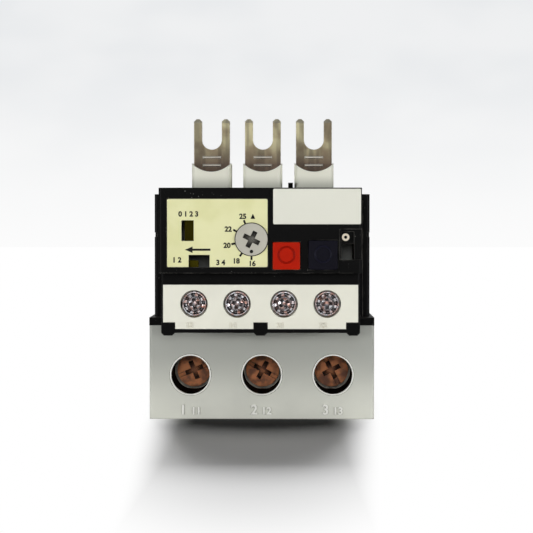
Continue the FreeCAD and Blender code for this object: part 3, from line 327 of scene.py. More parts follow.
@dataclass(frozen=True)
class Metal:
    """Bare or plated metal: drawn lines along one axis, tarnish in patches, and edges lightened partly
    by wear and partly as a painted highlight.

    Sizes are in millimetres. A fade's colour is painted light and shade, and takes over towards its
    lower height. The crown is how far faces that look up get a painted glint in the edge colour.
    """

    name: str
    colour: Colour
    tarnish: Colour
    edge_colour: Colour
    roughness: float = 0.3
    tarnish_share: float = 0.5
    lines: Place = (1.0, 1.0, 0.06)
    line_depth: float = 0.004
    patch: float = 2.2
    edge_radius: float = 0.18
    streaks: float = 0.0
    metallic: float = 1.0
    crown: float = 0.0
    grime: Optional[Grime] = None
    fade: Optional[Fade] = None
    line_size: float = 0.22
    band_size: float = 1.5
    band_lines: Place = (1.0, 1.0, 0.12)
    band_shade: float = 0.5
    edge_share: float = 0.7
    stain_gloss: float = 0.12
    line_gloss: float = 0.16

    def material(self) -> Material:
        """Build the material."""
        shader = Shader(self.name)
        normal, edges = shader.rounded(self.edge_radius)
        drawn = shader.noise(self.line_size, 2.0, self.lines)
        stained = shader.noise(self.patch, 4.0).ramp(0.38, 0.66) * self.tarnish_share
        body = shader.mix(stained, linear(self.colour), linear(self.tarnish))
        # Painted light and shade: the colour changes with height as light falls on the part.
        if self.fade:
            height = shader.along("Z").ramp(self.fade.low, self.fade.high)
            body = shader.mix(height, linear(self.fade.colour), body)
        # Painted reflection: darker streaks along Z stand for the dark surroundings mirrored in the
        # metal.
        if self.streaks > 0.0:
            reflection_bands = shader.noise(self.band_size, 1.0, self.band_lines).ramp(0.4, 0.6)
            shade = tuple(channel * self.band_shade for channel in self.tarnish)
            body = shader.mix(reflection_bands * self.streaks, body, linear(shade))
        # Painted shade: the colour darkens in grooves, holes and corners, wide and narrow, where shade
        # falls.
        if self.grime:
            wide, narrow = shader.cavity(self.grime.reach), shader.cavity(self.grime.reach / 4)
            closed = wide.math("MAXIMUM", wide, narrow)
            body = shader.mix(closed * self.grime.share, body, linear(self.grime.colour))
        # Edges take the edge colour: partly rubbed wear, partly a painted highlight.
        body = shader.mix(edges * self.edge_share, body, linear(self.edge_colour))
        metal = self.metallic
        # Painted glint: faces that look up take the edge colour and lose metal, standing for a bright
        # reflection.
        if self.crown > 0.0:
            painted_glint = shader.upward() * self.crown
            body = shader.mix(painted_glint, body, linear(self.edge_colour))
            metal = (1.0 - painted_glint) * metal
        rough = self.roughness + stained * self.stain_gloss + (drawn - 0.5) * self.line_gloss
        return shader.finish(Base_Color=body, Metallic=metal, Roughness=rough,
                             Normal=shader.bump(drawn, self.line_depth, normal))


@dataclass(frozen=True)
class CoatedPaper:
    """Glossy label stock: an even tint with faint fibres and slightly yellowed patches."""

    name: str
    colour: Colour
    aged: Colour
    edge_colour: Colour = (244, 244, 225)
    edge_radius: float = 0.1
    edge_wear: float = 0.3
    patch: float = 7.0
    fibre_size: float = 0.25
    fibre_lines: Place = (1.0, 1.0, 0.35)
    fibre_depth: float = 0.004
    roughness: float = 0.42
    gloss: float = 0.35

    def material(self) -> Material:
        """Build the material."""
        shader = Shader(self.name)
        normal, edges = shader.rounded(self.edge_radius)
        yellowed = shader.noise(self.patch, 3.0).ramp(0.35, 0.7)
        tint = shader.mix(yellowed, linear(self.colour), linear(self.aged))
        # Edges take the edge colour: partly wear, partly a painted highlight.
        tint = shader.mix(edges * self.edge_wear, tint, linear(self.edge_colour))
        fibres = shader.noise(self.fibre_size, 3.0, self.fibre_lines)
        rough = self.roughness + (fibres - 0.5) * 0.1
        return shader.finish(Base_Color=tint, Roughness=rough, Specular_IOR_Level=self.gloss,
                             Normal=shader.bump(fibres, self.fibre_depth, normal))


@dataclass(frozen=True)
class PrintingInk:
    """Screen-printed ink: a matt film that is thinner in places."""

    name: str
    colour: Colour
    thin: Colour
    patch: float = 0.5
    thin_share: float = 0.5
    roughness: float = 0.55
    gloss: float = 0.2

    def material(self) -> Material:
        """Build the material."""
        shader = Shader(self.name)
        film = shader.noise(self.patch, 2.0)
        thinned = film.ramp(0.45, 0.8) * self.thin_share
        tint = shader.mix(thinned, linear(self.colour), linear(self.thin))
        return shader.finish(Base_Color=tint, Roughness=self.roughness + film * 0.1,
                             Specular_IOR_Level=self.gloss)


class Finish(Enum):
    """Every finish on the relay."""

    # Painted light: darker towards the top as painted shade under the overhanging block, painted shade
    # in the hollows round the figures, and edges lighter partly by wear and partly as a painted
    # highlight.
    CASE_GREY = MouldedPlastic(
        "case_grey", (228, 229, 218), (242, 243, 234), roughness=0.5, grain=0.012, grain_size=0.4,
        mottling=0.035, edge_wear=0.5, edge_radius=0.25, dust=0.1,
        grime=Grime(0.6, (104, 104, 98), 0.6), fade=Fade(2.0, 19.0, (172, 174, 167)))
    # Painted highlight: the figures and hole beads are moulded in the case grey, and this whiter colour
    # stands for light on them.
    FIGURE_GREY = MouldedPlastic(
        "painted_highlight_white", (255, 255, 248), (255, 255, 250), roughness=0.4, gloss=0.4, grain_size=0.4,
        mottling=0.01)
    # Painted light: darker at the foot where the cover shades the collar, bright at the top, with a
    # white painted highlight on the edges.
    COLLAR_GREY = MouldedPlastic(
        "collar_grey", (180, 182, 170), (255, 255, 246), grain_size=0.4, mottling=0.02, edge_wear=0.9,
        edge_radius=0.6, fade=Fade(61.5, 66.0, (252, 252, 236)))
    # The lighter grey edges are partly scuffs and partly a painted highlight.
    CASE_BLACK = MouldedPlastic(
        "case_black", (8, 8, 8), (124, 122, 116), roughness=0.42, gloss=0.06, grain=0.014,
        grain_size=0.4, mottling=0.25, edge_wear=0.9, edge_radius=0.26, dust=0.35)
    # Painted shade: the carrier is matt near black so the insides of the terminal holes read as deep
    # shade.
    TUBE_BLACK = MouldedPlastic(
        "hole_shade_black", (8, 8, 8), (18, 18, 18), roughness=0.75, gloss=0.04, grain_size=0.4, mottling=0.2)
    # Painted light: the lower plate under the overhang is lighter than the name plate above to offset
    # its shade, and brownish painted shade lies in the hollows round the figures.
    WHITE = MouldedPlastic(
        "white_plate", (244, 243, 228), (255, 254, 244), roughness=0.48, grain=0.008, grain_size=0.4,
        mottling=0.02, edge_wear=0.4, edge_radius=0.2, grime=Grime(0.6, (168, 146, 118), 0.35),
        fade=Fade(38.0, 46.0, (233, 233, 220)))
    # Painted shade: the red darkens in the button's hollows.
    RED = MouldedPlastic(
        "button_red", (184, 26, 0), (236, 96, 52), roughness=0.42, gloss=0.07, edge_wear=0.7,
        edge_radius=0.3, grime=Grime(0.8, (112, 14, 2), 0.5))
    RED_RING = MouldedPlastic("ring_red", (150, 16, 0), (190, 50, 20), roughness=0.42, gloss=0.07)
    NAVY_RING = MouldedPlastic(
        "ring_navy", (18, 18, 34), (50, 52, 72), roughness=0.42, gloss=0.1, mottling=0.1)
    # Painted shade: the navy darkens to near black in the button's hollows.
    NAVY = MouldedPlastic(
        "button_navy", (10, 9, 22), (58, 60, 84), roughness=0.4, gloss=0.08, mottling=0.12,
        edge_wear=0.5, edge_radius=0.2, grime=Grime(0.8, (3, 3, 8), 0.5))
    # Painted shade: dark brown in the knob's slot and corners.
    DIAL_GREY = MouldedPlastic(
        "dial_grey", (196, 193, 180), (224, 223, 211), grain=0.02, grain_size=0.3, edge_wear=0.45,
        edge_radius=0.25, grime=Grime(1.0, (34, 28, 18), 2.4))
    OLIVE = MouldedPlastic(
        "flag_olive", (62, 56, 2), (96, 88, 14), roughness=0.6, gloss=0.03, mottling=0.12,
        edge_wear=0.3)
    # Painted shade: dark brown in the pin's hole.
    CREAM = MouldedPlastic(
        "selector_cream", (230, 218, 196), (246, 238, 220), gloss=0.35, grain_size=0.3, edge_wear=0.4,
        edge_radius=0.12, grime=Grime(1.0, (40, 26, 18), 0.7))
    BOARD = MouldedPlastic(
        "insulating_board", (120, 104, 84), (150, 134, 112), roughness=0.7, gloss=0.2, grain=0.02,
        grain_size=0.3, mottling=0.15, edge_wear=0.3)
    INNER_GREY = MouldedPlastic(
        "inner_grey", (150, 152, 148), (180, 182, 178), roughness=0.55, grain=0.012, grain_size=0.4,
        edge_wear=0.3)
    LABEL = CoatedPaper("label_cream", (236, 235, 184), (228, 227, 170))
    INK = PrintingInk("label_ink", (22, 22, 20), (44, 44, 36))
    # Painted light: the dark foot and darker streaks are painted reflections, and faces that look up
    # get a painted glint.
    TINNED = Metal(
        "tinned_copper", (192, 184, 146), (126, 102, 80), (255, 253, 244), roughness=0.4,
        tarnish_share=0.6, line_depth=0.006, patch=4.0, edge_radius=0.25, streaks=0.5, metallic=0.35,
        crown=0.35, fade=Fade(68.0, 76.0, (98, 80, 64)))
    # Painted highlight: a bright strip along each bead's crest.
    CREST = Metal(
        "painted_bead_highlight", (214, 208, 196), (160, 146, 128), (240, 238, 230), tarnish_share=0.6,
        metallic=0.3)
    COPPER = Metal(
        "copper_bar", (196, 122, 84), (140, 84, 58), (224, 160, 120), roughness=0.34, tarnish_share=0.6)
    BRASS = Metal("brass_bar", (206, 172, 100), (150, 118, 62), (232, 206, 146), roughness=0.34)
    # Painted shade: near black in the cross and slot of the main screws.
    BRONZED = Metal(
        "bronzed_steel", (238, 158, 110), (132, 100, 90), (255, 206, 166), roughness=0.48,
        tarnish_share=0.8, lines=(1.0, 1.0, 1.0), line_depth=0.006, patch=2.6, edge_radius=0.12,
        metallic=0.8, grime=Grime(1.0, (10, 7, 6), 1.8))
    # Painted shade: near black in the notches, gutter and cross of the small screws.
    ZINC = Metal(
        "zinc_plate", (246, 248, 255), (190, 112, 72), (255, 255, 255), roughness=0.2,
        tarnish_share=0.8, lines=(1.0, 1.0, 1.0), patch=1.3, edge_radius=0.06, metallic=0.7,
        grime=Grime(0.88, (14, 11, 8), 1.2))
    STRIP = Metal("bimetal_strip", (176, 170, 158), (120, 116, 112), (214, 210, 200), roughness=0.35)
    RIBBON = Metal(
        "heater_ribbon", (150, 142, 132), (84, 76, 92), (196, 188, 176), roughness=0.4,
        tarnish_share=0.7)
    SPRING = Metal(
        "spring_wire", (186, 184, 178), (128, 124, 118), (224, 222, 214), roughness=0.25,
        tarnish_share=0.4, lines=(1.0, 1.0, 1.0))
    SILVER = Metal(
        "contact_silver", (220, 218, 210), (170, 160, 146), (244, 242, 234), roughness=0.28,
        tarnish_share=0.4)


MATERIALS: Dict[Finish, Material] = {}


def dress(piece: Object, finish: Finish) -> None:
    """Give a piece one finish.

    Args:
        piece: a mesh object.
        finish: the finish to put on all of it.
    """
    if finish not in MATERIALS:
        MATERIALS[finish] = finish.value.material()
    piece.data.materials.clear()
    piece.data.materials.append(MATERIALS[finish])


def dress_nodes(finish: Finish, *nodes: str) -> None:
    """Give CAD nodes one finish, and report them."""
    for node in nodes:
        dress(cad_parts[node], finish)
        LOG.info("%s: %s", node, finish.name.lower())


def middle(node: str) -> Place:
    """Centre of a CAD node's box, in millimetres."""
    low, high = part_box(node)
    return tuple((a + b) / 2 / MM for a, b in zip(low, high))


def edge(node: str, axis: int, end: int) -> float:
    """One side of a CAD node's box in millimetres: end 0 is the axis's low side and 1 its high side."""
    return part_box(node)[end][axis] / MM


def surface(name: str, points: np.ndarray, smooth: bool = True) -> Object:
    """Make a mesh of the quads between neighbouring points of a grid.

    Point (i, j) joins (i + 1, j), (i + 1, j + 1) and (i, j + 1). Doubles are merged, so a row that
    comes back on itself closes and a row on one spot becomes a pole.

    Args:
        name: the new object's name.
        points: an array of rows x columns x 3, in millimetres.
        smooth: whether the shading is smooth below a 40 degree edge.

    Returns:
        The new object, at the origin.
    """
    rows, columns = points.shape[:2]
    index = np.arange(rows * columns).reshape(rows, columns)
    quads = np.stack([index[:-1, :-1], index[1:, :-1], index[1:, 1:], index[:-1, 1:]], axis=-1)
    mesh = bpy.data.meshes.new(name)
    mesh.from_pydata((points.reshape(-1, 3) * MM).tolist(), [], quads.reshape(-1, 4).tolist())
    return cleaned(name, mesh, smooth)


def cleaned(name: str, mesh: Mesh, smooth: bool) -> Object:
    """Merge a mesh's doubles, turn its faces outwards and link it.

    Args:
        name: the new object's name.
        mesh: the mesh to tidy.
        smooth: whether the shading is smooth below a 40 degree edge.

    Returns:
        The new object, at the origin.
    """
    work = bmesh.new()
    work.from_mesh(mesh)
    bmesh.ops.remove_doubles(work, verts=work.verts, dist=1e-6)
    bmesh.ops.dissolve_degenerate(work, edges=work.edges, dist=1e-7)
    bmesh.ops.recalc_face_normals(work, faces=work.faces)
    work.to_mesh(mesh)
    work.free()
    if smooth:
        mesh.shade_smooth()
        mesh.set_sharp_from_angle(angle=math.radians(40.0))
    made = bpy.data.objects.new(name, mesh)
    bpy.context.scene.collection.objects.link(made)
    return made


def settle(piece: Object, finish: Finish, body: str) -> None:
    """Dress a new piece, seat it on its body and report it.

    Args:
        piece: the new mesh object.
        finish: its finish.
        body: the CAD body it moves with.
    """
    dress(piece, finish)
    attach(piece, body)
    LOG.info("%s: %d faces on %s", piece.name, len(piece.data.polygons), body)


@dataclass
class Relief:
    """Flat outlines standing a little proud of a front plane, as ink, moulded marks or figures."""

    name: str
    plane: float
    height: float
    weight: float = 0.0
    cap_share: float = 0.73

    def figures(self, words: Sequence[Tuple[str, float, float, float]]) -> Object:
        """Set figures in relief as one piece, each by its text, centre X, centre Z and cap height."""
        meshes = [self._figure(text, x, z, tall) for text, x, z, tall in words]
        return self._joined(meshes)

    def strokes(self, outlines: Iterable[np.ndarray]) -> Object:
        """Raise flat outlines, given as corners in X and Z, with a front, a back and a side wall each.

        Args:
            outlines: arrays of corners x 2, in millimetres.

        Returns:
            One mesh object of them all.
        """
        meshes = []
        for corners in outlines:
            count = len(corners)
            place = np.full(count, self.plane - self.height)
            front = np.column_stack([corners[:, 0], place, corners[:, 1]])
            back = front + np.array([0.0, self.height, 0.0])
            mesh = bpy.data.meshes.new(self.name)
            ring = np.arange(count)
            after = (ring + 1) % count
            walls = np.stack([ring, after, after + count, ring + count], axis=-1).tolist()
            caps = [ring.tolist(), (ring + count).tolist()]
            mesh.from_pydata((np.vstack([front, back]) * MM).tolist(), [], walls + caps)
            meshes.append(mesh)
        return self._joined(meshes)

    def _figure(self, text: str, x: float, z: float, tall: float) -> Mesh:
        """Mesh of one text, turned to face the front.

        Args:
            text: the figures to set.
            x: centre along X.
            z: centre along Z.
            tall: height of a figure.

        Returns:
            The mesh, in metres.
        """
        curve = bpy.data.curves.new(self.name, "FONT")
        curve.body = text
        curve.size = tall / self.cap_share
        curve.extrude = self.height / 2
        curve.offset = self.weight
        curve.resolution_u = 4
        item = bpy.data.objects.new(self.name, curve)
        bpy.context.scene.collection.objects.link(item)
        bpy.context.view_layer.update()
        shaped = item.evaluated_get(bpy.context.evaluated_depsgraph_get())
        mesh = bpy.data.meshes.new_from_object(shaped)
        bpy.data.objects.remove(item)
        flat = np.zeros(len(mesh.vertices) * 3, np.float32)
        mesh.vertices.foreach_get("co", flat)
        points = flat.reshape(-1, 3)
        centre = (points.min(0) + points.max(0)) / 2
        across, up, out = (points - centre).T
        placed = np.column_stack([x + across, self.plane - self.height / 2 - out, z + up]) * MM
        mesh.vertices.foreach_set("co", placed.astype(np.float32).ravel())
        return mesh

    def _joined(self, meshes: List[Mesh]) -> Object:
        """Join meshes into one object.

        Args:
            meshes: the meshes, which are removed.

        Returns:
            The joined object.
        """
        work = bmesh.new()
        for mesh in meshes:
            work.from_mesh(mesh)
        joined = bpy.data.meshes.new(self.name)
        work.to_mesh(joined)
        work.free()
        for mesh in meshes:
            bpy.data.meshes.remove(mesh)
        return cleaned(self.name, joined, False)


def bar(x: float, z: float, long: float, wide: float, angle: float) -> np.ndarray:
    """Corners of a straight bar about its middle.

    Args:
        x: middle along X.
        z: middle along Z.
        long: length.
        wide: width.
        angle: direction of its length in radians from +X towards +Z.

    Returns:
        Four corners, X and Z.
    """
    unit = np.array([[-1, -1], [1, -1], [1, 1], [-1, 1]]) * np.array([long, wide]) / 2
    turn = np.array([[math.cos(angle), math.sin(angle)], [-math.sin(angle), math.cos(angle)]])
    return unit @ turn + np.array([x, z])


def circle(steps: int) -> np.ndarray:
    """Angles round a full circle, with both ends."""
    return np.linspace(0.0, 2 * math.pi, steps)


def turned(x: float, z: float, radius: np.ndarray, y: np.ndarray, around: np.ndarray) -> np.ndarray:
    """Grid of points (x + radius cos around, y, z + radius sin around), about an axis along Y."""
    out, place, angle = np.broadcast_arrays(radius, y, around)
    return np.stack([x + out * np.cos(angle), place, z + out * np.sin(angle)], axis=-1)


def bead(x: float, z: float, face: float, radius: float, size: Span, steps: int) -> np.ndarray:
    """Bead on a face about an axis along Y: an ellipse of half width and height carried round."""
    section = circle(13)[:, None]
    return turned(x, z, radius + size[0] * np.cos(section), face - size[1] * np.sin(section),
                  circle(steps))


def soft_step(value: np.ndarray, edge_at: float, blur: float) -> np.ndarray:
    """Smooth step from 0 to 1 about an edge: 3t^2 - 2t^3 of the place across the blur."""
    t = np.clip((value - edge_at) / blur + 0.5, 0.0, 1.0)
    return t * t * (3.0 - 2.0 * t)


@dataclass(frozen=True)
class ThreadedShank:
    """Thread on a screw's shank, all sizes in millimetres."""

    radius: float
    pitch: float
    depth: float

    def rows(self, x: float, z: float, start: float, end: float, around: np.ndarray) -> np.ndarray:
        """Rows of points down the shank.

        The radius at angle a and distance s is the crest less the depth times a triangle wave of
        s / pitch - a / 2 pi, faded out over half a pitch at both ends.

        Args:
            x: axis along X.
            z: axis along Z.
            start: Y of the first row.
            end: Y of the last row.
            around: angles of one row.

        Returns:
            An array of rows x angles x 3.
        """
        along = np.linspace(start, end, int((end - start) / self.pitch * 8))[:, None]
        phase = (along - start) / self.pitch - around[None, :] / (2 * math.pi)
        wave = np.abs(2.0 * (phase - np.floor(phase)) - 1.0)
        fade = np.clip(np.minimum(along - start, end - along) / (self.pitch / 2), 0.0, 1.0)
        return turned(x, z, self.radius - self.depth * wave * fade, along, around)


@dataclass
class CastellatedScrew:
    """Small plated screw: a notched crown ring round a sunk cross, all sizes in millimetres."""

    notches: int = 8
    notch_depth: float = 1.0
    ring_inner: float = 0.58
    ring_outer: float = 0.86
    boss: float = 0.48
    cross_depth: float = 1.5
    cross_arm: float = 0.13
    cross_reach: float = 0.85
    gutter_depth: float = 0.9
    crown: float = 0.4
    rim_depth: float = 0.3
    rim_start: float = 0.94
    height: float = 2.2
    thread: ThreadedShank = ThreadedShank(1.7, 0.6, 0.22)

    def head_depth(self, share: np.ndarray, around: np.ndarray) -> np.ndarray:
        """How far the head's face lies back from its front plane.

        Notches are a smoothed square wave round the crown ring, whose crest is rounded as a parabola. A
        gutter parts the ring from the domed boss, and the cross is the union of two sunk bars.

        Args:
            share: radius as a share of the head's radius.
            around: angle about the axis.

        Returns:
            Depth in millimetres.
        """
        wave = soft_step(np.cos(self.notches * around), 0.1, 0.7)
        ring = soft_step(share, self.ring_inner, 0.05) * (1.0 - soft_step(share, self.ring_outer, 0.05))
        gutter = soft_step(share, self.boss, 0.04) * (1.0 - soft_step(share, self.ring_inner, 0.04))
        across, up = np.abs(share * np.cos(around)), np.abs(share * np.sin(around))
        arm, reach = self.cross_arm, self.boss * self.cross_reach
        first = (1.0 - soft_step(across, arm, 0.06)) * (1.0 - soft_step(up, reach, 0.08))
        second = (1.0 - soft_step(up, arm, 0.06)) * (1.0 - soft_step(across, reach, 0.08))
        rim = self.rim_depth * np.clip((share - self.rim_start) / (1.0 - self.rim_start), 0.0, 1.0) ** 2
        half = (self.ring_outer - self.ring_inner) / 2
        crest = np.clip((share - self.ring_inner - half) / half, -1.0, 1.0) ** 2 * ring
        dome = (share / self.boss) ** 2 * (share < self.boss)
        return (self.notch_depth * wave * ring + self.gutter_depth * gutter
                + self.crown * (crest + dome) + self.cross_depth * np.maximum(first, second) + rim)

    def build(self, number: int, turn: float) -> None:
        """Build one screw in its CAD node's place, as one closed surface from its face to its tip.

        Args:
            number: which auxiliary terminal.
            turn: how far the screw is turned, in degrees.
        """
        node = f"aux_screw_{number}"
        x, _, z = middle(node)
        front, tip = edge(node, 1, 0), edge(node, 1, 1)
        radius = (edge(node, 0, 1) - edge(node, 0, 0)) / 2
        under = front + self.height
        around = circle(145)
        share = np.linspace(0.0, 1.0, 61)[:, None]
        depth = self.head_depth(share, around[None, :] - math.radians(turn))
        face = turned(x, z, radius * share, front + depth, around)
        side = turned(x, z, radius, under, around[None, :])
        shank = self.thread.rows(x, z, under, tip, around)
        point = turned(x, z, 0.0, tip, around[None, :])
        made = surface(f"screw_{number}", np.concatenate([face, side, shank, point]))
        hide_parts(node)
        settle(made, Finish.ZINC, f"aux_clamp_{number}")


@dataclass
class CoilSpring:
    """Compression spring with closed ends, all sizes in millimetres."""

    wire: float = 0.25
    turns: float = 7.0
    steps: int = 28
    climb: float = 0.65

    def build(self, name: str) -> None:
        """Build a spring in its CAD node's place, with its wire's circle carried along a helix.

        The helix climbs slowly in its first and last turn, so the ends lie flat.

        Args:
            name: the button it belongs to.
        """
        node = f"{name}_spring"
        x, _, z = middle(node)
        low, high = edge(node, 1, 0) + self.wire, edge(node, 1, 1) - self.wire
        radius = (edge(node, 0, 1) - edge(node, 0, 0)) / 2 - self.wire
        share = np.linspace(0.0, 1.0, int(self.turns * self.steps) + 1)
        turn = 2 * math.pi * self.turns * share
        ease = soft_step(share, 0.5, 1.0) * (1.0 - self.climb) + share * self.climb
        section = circle(11)
        thick = self.wire * np.sqrt(np.clip(1.0 - (2.0 * share - 1.0) ** 40, 0.0, 1.0))
        out = radius + thick[:, None] * np.sin(section)
        place = (low + (high - low) * ease)[:, None] + thick[:, None] * np.cos(section)
        made = surface(f"{name}_coil", turned(x, z, out, place, turn[:, None]))
        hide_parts(node)
        settle(made, Finish.SPRING, "case")
        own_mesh(made)


@dataclass
class TerminalFoot:
    """Grey shroud and black carrier at the foot, with their screws, clamps and bars."""

    figure_height: float = 2.65
    figure_rise: float = 2.55
    figure_shift: float = -2.0
    small_height: float = 2.0
    small_rise: float = 2.22
    small_shift: float = 1.5
    relief: float = 0.28
    hole_radius: float = 5.32
    rim_radius: float = 0.2
    head_height: float = 6.2
    bar_gap: float = 0.1
    thread: ThreadedShank = ThreadedShank(2.97, 1.0, 0.04)
    sleeve_inner: float = 2.88

    def build(self) -> None:
        """Dress the foot, with moulded figures under each screw hole and a bead round its mouth, both
        in a painted highlight white.
        """
        dress_nodes(Finish.CASE_GREY, "terminal_shroud")
        # The carrier behind the holes is painted matt near black as shade.
        dress_nodes(Finish.TUBE_BLACK, "load_carrier")
        words = []
        for pole in (1, 2, 3):
            dress_nodes(Finish.BRONZED, f"load_screw_{pole}")
            dress_nodes(Finish.STRIP, f"load_clamp_{pole}")
            dress_nodes(Finish.COPPER, f"load_bar_{pole}")
            x = middle(f"load_screw_{pole}")[0]
            words.append((str(pole), x + self.figure_shift, self.figure_rise, self.figure_height))
            words.append((str(10 + pole), x + self.small_shift, self.small_rise, self.small_height))
        face = edge("terminal_shroud", 1, 0)
        marks = Relief("foot_figures", face, self.relief, weight=0.08).figures(words)
        settle(marks, Finish.FIGURE_GREY, "case")
        for pole in (1, 2, 3):
            self._thread(pole)
            x, _, z = middle(f"load_screw_{pole}")
            size = (self.rim_radius, self.rim_radius)
            # The bead stands for the rounded mouth of the hole, in the painted highlight white.
            rim = surface(f"hole_rim_highlight_{pole}", bead(x, z, face, self.hole_radius, size, 97))
            settle(rim, Finish.FIGURE_GREY, "case")

    def _thread(self, pole: int) -> None:
        """Wind a thread round the main screw's shank, as a sleeve just over the plain CAD shank.

        Args:
            pole: which pole.
        """
        node = f"load_screw_{pole}"
        x, _, z = middle(node)
        start = edge(node, 1, 0) + self.head_height
        end = edge(f"load_bar_{pole}", 1, 0) - self.bar_gap
        rows = self.thread.rows(x, z, start, end, circle(73))
        axis = np.array([x, 0.0, z])
        narrow = self.sleeve_inner / self.thread.radius
        inner = axis + (rows[[-1, 0]] - axis) * np.array([narrow, 1.0, narrow])
        made = surface(f"main_thread_{pole}", np.concatenate([rows, inner, rows[:1]]))
        settle(made, Finish.BRONZED, f"load_clamp_{pole}")


@dataclass
class RearHousing:
    """Black rear housing with its collars, forks, bimetals and heaters."""

    crest_drops: Tuple[float, ...] = (10.7, 12.9)
    crest_length: float = 4.8
    crest_width: float = 0.28
    crest_height: float = 0.06

    def build(self) -> None:
        """Dress the housing and what it carries."""
        dress_nodes(Finish.CASE_BLACK, "main_housing", "mechanism_base")
        dress_nodes(Finish.COLLAR_GREY, "pole_collars")
        for pole in (1, 2, 3):
            dress_nodes(Finish.TINNED, f"fork_terminal_{pole}")
            dress_nodes(Finish.STRIP, f"bimetal_{pole}")
            dress_nodes(Finish.RIBBON, f"heater_{pole}")
            self._crests(pole)
        dress_nodes(Finish.BOARD, "trip_slider")

    def _crests(self, pole: int) -> None:
        """Lay a painted highlight along the crests of the two beads across a fork, as one piece.

        Args:
            pole: which pole.
        """
        node = f"fork_terminal_{pole}"
        x, top = middle(node)[0], edge(node, 2, 1)
        lines = [bar(x, top - drop, self.crest_length, self.crest_width, 0.0)
                 for drop in self.crest_drops]
        crests = Relief(f"painted_bead_highlights_{pole}", edge(node, 1, 0), self.crest_height).strokes(lines)
        settle(crests, Finish.CREST, "case")


@dataclass
class TripMechanism:
    """Lever, frame and contact carrier behind the face."""

    def build(self) -> None:
        """Dress the mechanism."""
        dress_nodes(Finish.INNER_GREY, "mechanism_frame", "trip_lever")
        dress_nodes(Finish.SPRING, "lever_pin")
        dress_nodes(Finish.BOARD, "contact_carrier")
        dress_nodes(Finish.SILVER, "opening_bridge", "closing_bridge")


@dataclass
class AuxiliaryTerminals:
    """Black block with a white plate over four small screw terminals."""

    numbers: Tuple[str, ...] = ("13", "14", "21", "22")
    turns: Tuple[float, ...] = (8.0, -14.0, 31.0, 4.0)
    figure_height: float = 1.4
    figure_shift: float = -1.0
    figure_drop: float = 5.4
    relief: float = 0.2

    def build(self) -> None:
        """Dress the block and build its screws and marks."""
        dress_nodes(Finish.CASE_BLACK, "terminal_block")
        dress_nodes(Finish.WHITE, "terminal_plate")
        words = []
        for number, (figure, turn) in enumerate(zip(self.numbers, self.turns), start=1):
            dress_nodes(Finish.STRIP, f"aux_clamp_{number}")
            dress_nodes(Finish.BRASS, f"aux_bar_{number}")
            CastellatedScrew().build(number, turn)
            x, _, z = middle(f"aux_screw_{number}")
            words.append((figure, x + self.figure_shift, z - self.figure_drop, self.figure_height))
        face = edge("terminal_plate", 1, 0)
        marks = Relief("plate_figures", face, self.relief, weight=0.03).figures(words)
        settle(marks, Finish.WHITE, "case")


@dataclass
class SettingDial:
    """Grey current dial with a pointer dot, and the scale printed round it."""

    figures: Tuple[str, ...] = ("16", "18", "20", "22", "25")
    angles: Tuple[float, ...] = (0.0, 34.5, 76.3, 117.9, 158.2)
    places: Tuple[Span, ...] = ((0.3, -6.05), (-3.7, -5.4), (-6.15, -1.5), (-5.85, 2.6), (-2.2, 5.8))
    triangle: Tuple[Span, ...] = ((-0.25, 5.15), (0.95, 5.15), (0.35, 6.45))
    tick_inner: float = 4.1
    tick_outer: float = 5.2
    tick_width: float = 0.5
    figure_height: float = 1.3
    figure_weight: float = 0.07
    dot_radius: float = 0.44
    dot_reach: float = 3.04
    film: float = 0.03

    def build(self) -> None:
        """Dress the dial, print its scale and put the dot on the knob."""
        dress_nodes(Finish.DIAL_GREY, "dial")
        x, _, z = middle("dial")
        plane = edge("label_plate", 1, 0)
        reach, long = (self.tick_inner + self.tick_outer) / 2, self.tick_outer - self.tick_inner
        ticks = [bar(x - reach * math.sin(angle), z - reach * math.cos(angle), long, self.tick_width,
                     math.pi / 2 - angle) for angle in np.radians(self.angles)]
        ticks.append(np.array([x, z]) + np.array(self.triangle))
        scale = Relief("scale_ticks", plane, self.film).strokes(ticks)
        settle(scale, Finish.INK, "case")
        words = [(figure, x + across, z + up, self.figure_height)
                 for figure, (across, up) in zip(self.figures, self.places)]
        marks = Relief("scale_figures", plane, self.film, self.figure_weight).figures(words)
        settle(marks, Finish.INK, "case")
        around = circle(33)[:-1]
        disc = np.column_stack([x + self.dot_radius * np.cos(around),
                                z - self.dot_reach + self.dot_radius * np.sin(around)])
        dot = Relief("pointer_dot", edge("dial", 1, 0), self.film).strokes([disc])
        settle(dot, Finish.INK, "dial")


@dataclass
class FrontFace:
    """Black cover with its label, name plate, test slide and selector."""

    film: float = 0.03
    arrow_left: float = -18.9
    arrow_right: float = -12.5
    arrow_z: float = 45.4
    head_length: float = 1.9
    head_half: float = 0.8
    shaft_width: float = 0.54
    words: Tuple[Tuple[str, float, float, float], ...] = (
        ("0 1 2 3", -18.06, 54.4, 1.3), ("1 2", -20.8, 42.85, 1.3), ("3 4", -9.9, 42.2, 1.3))

    def build(self) -> None:
        """Dress the face and print the label's marks."""
        dress_nodes(Finish.CASE_BLACK, "front_cover", "selector")
        dress_nodes(Finish.WHITE, "name_plate")
        dress_nodes(Finish.LABEL, "label_plate")
        dress_nodes(Finish.OLIVE, "test_slider")
        dress_nodes(Finish.CREAM, "selector_pin")
        plane = edge("label_plate", 1, 0)
        neck = self.arrow_left + self.head_length
        head = np.array([[self.arrow_left, self.arrow_z], [neck, self.arrow_z - self.head_half],
                         [neck, self.arrow_z + self.head_half]])
        shaft = bar((neck + self.arrow_right) / 2, self.arrow_z,
                    self.arrow_right - self.arrow_left - self.head_length, self.shaft_width, 0.0)
        arrow = Relief("test_arrow", plane, self.film).strokes([head, shaft])
        settle(arrow, Finish.INK, "case")
        marks = Relief("label_figures", plane, self.film, weight=0.07).figures(self.words)
        settle(marks, Finish.INK, "case")


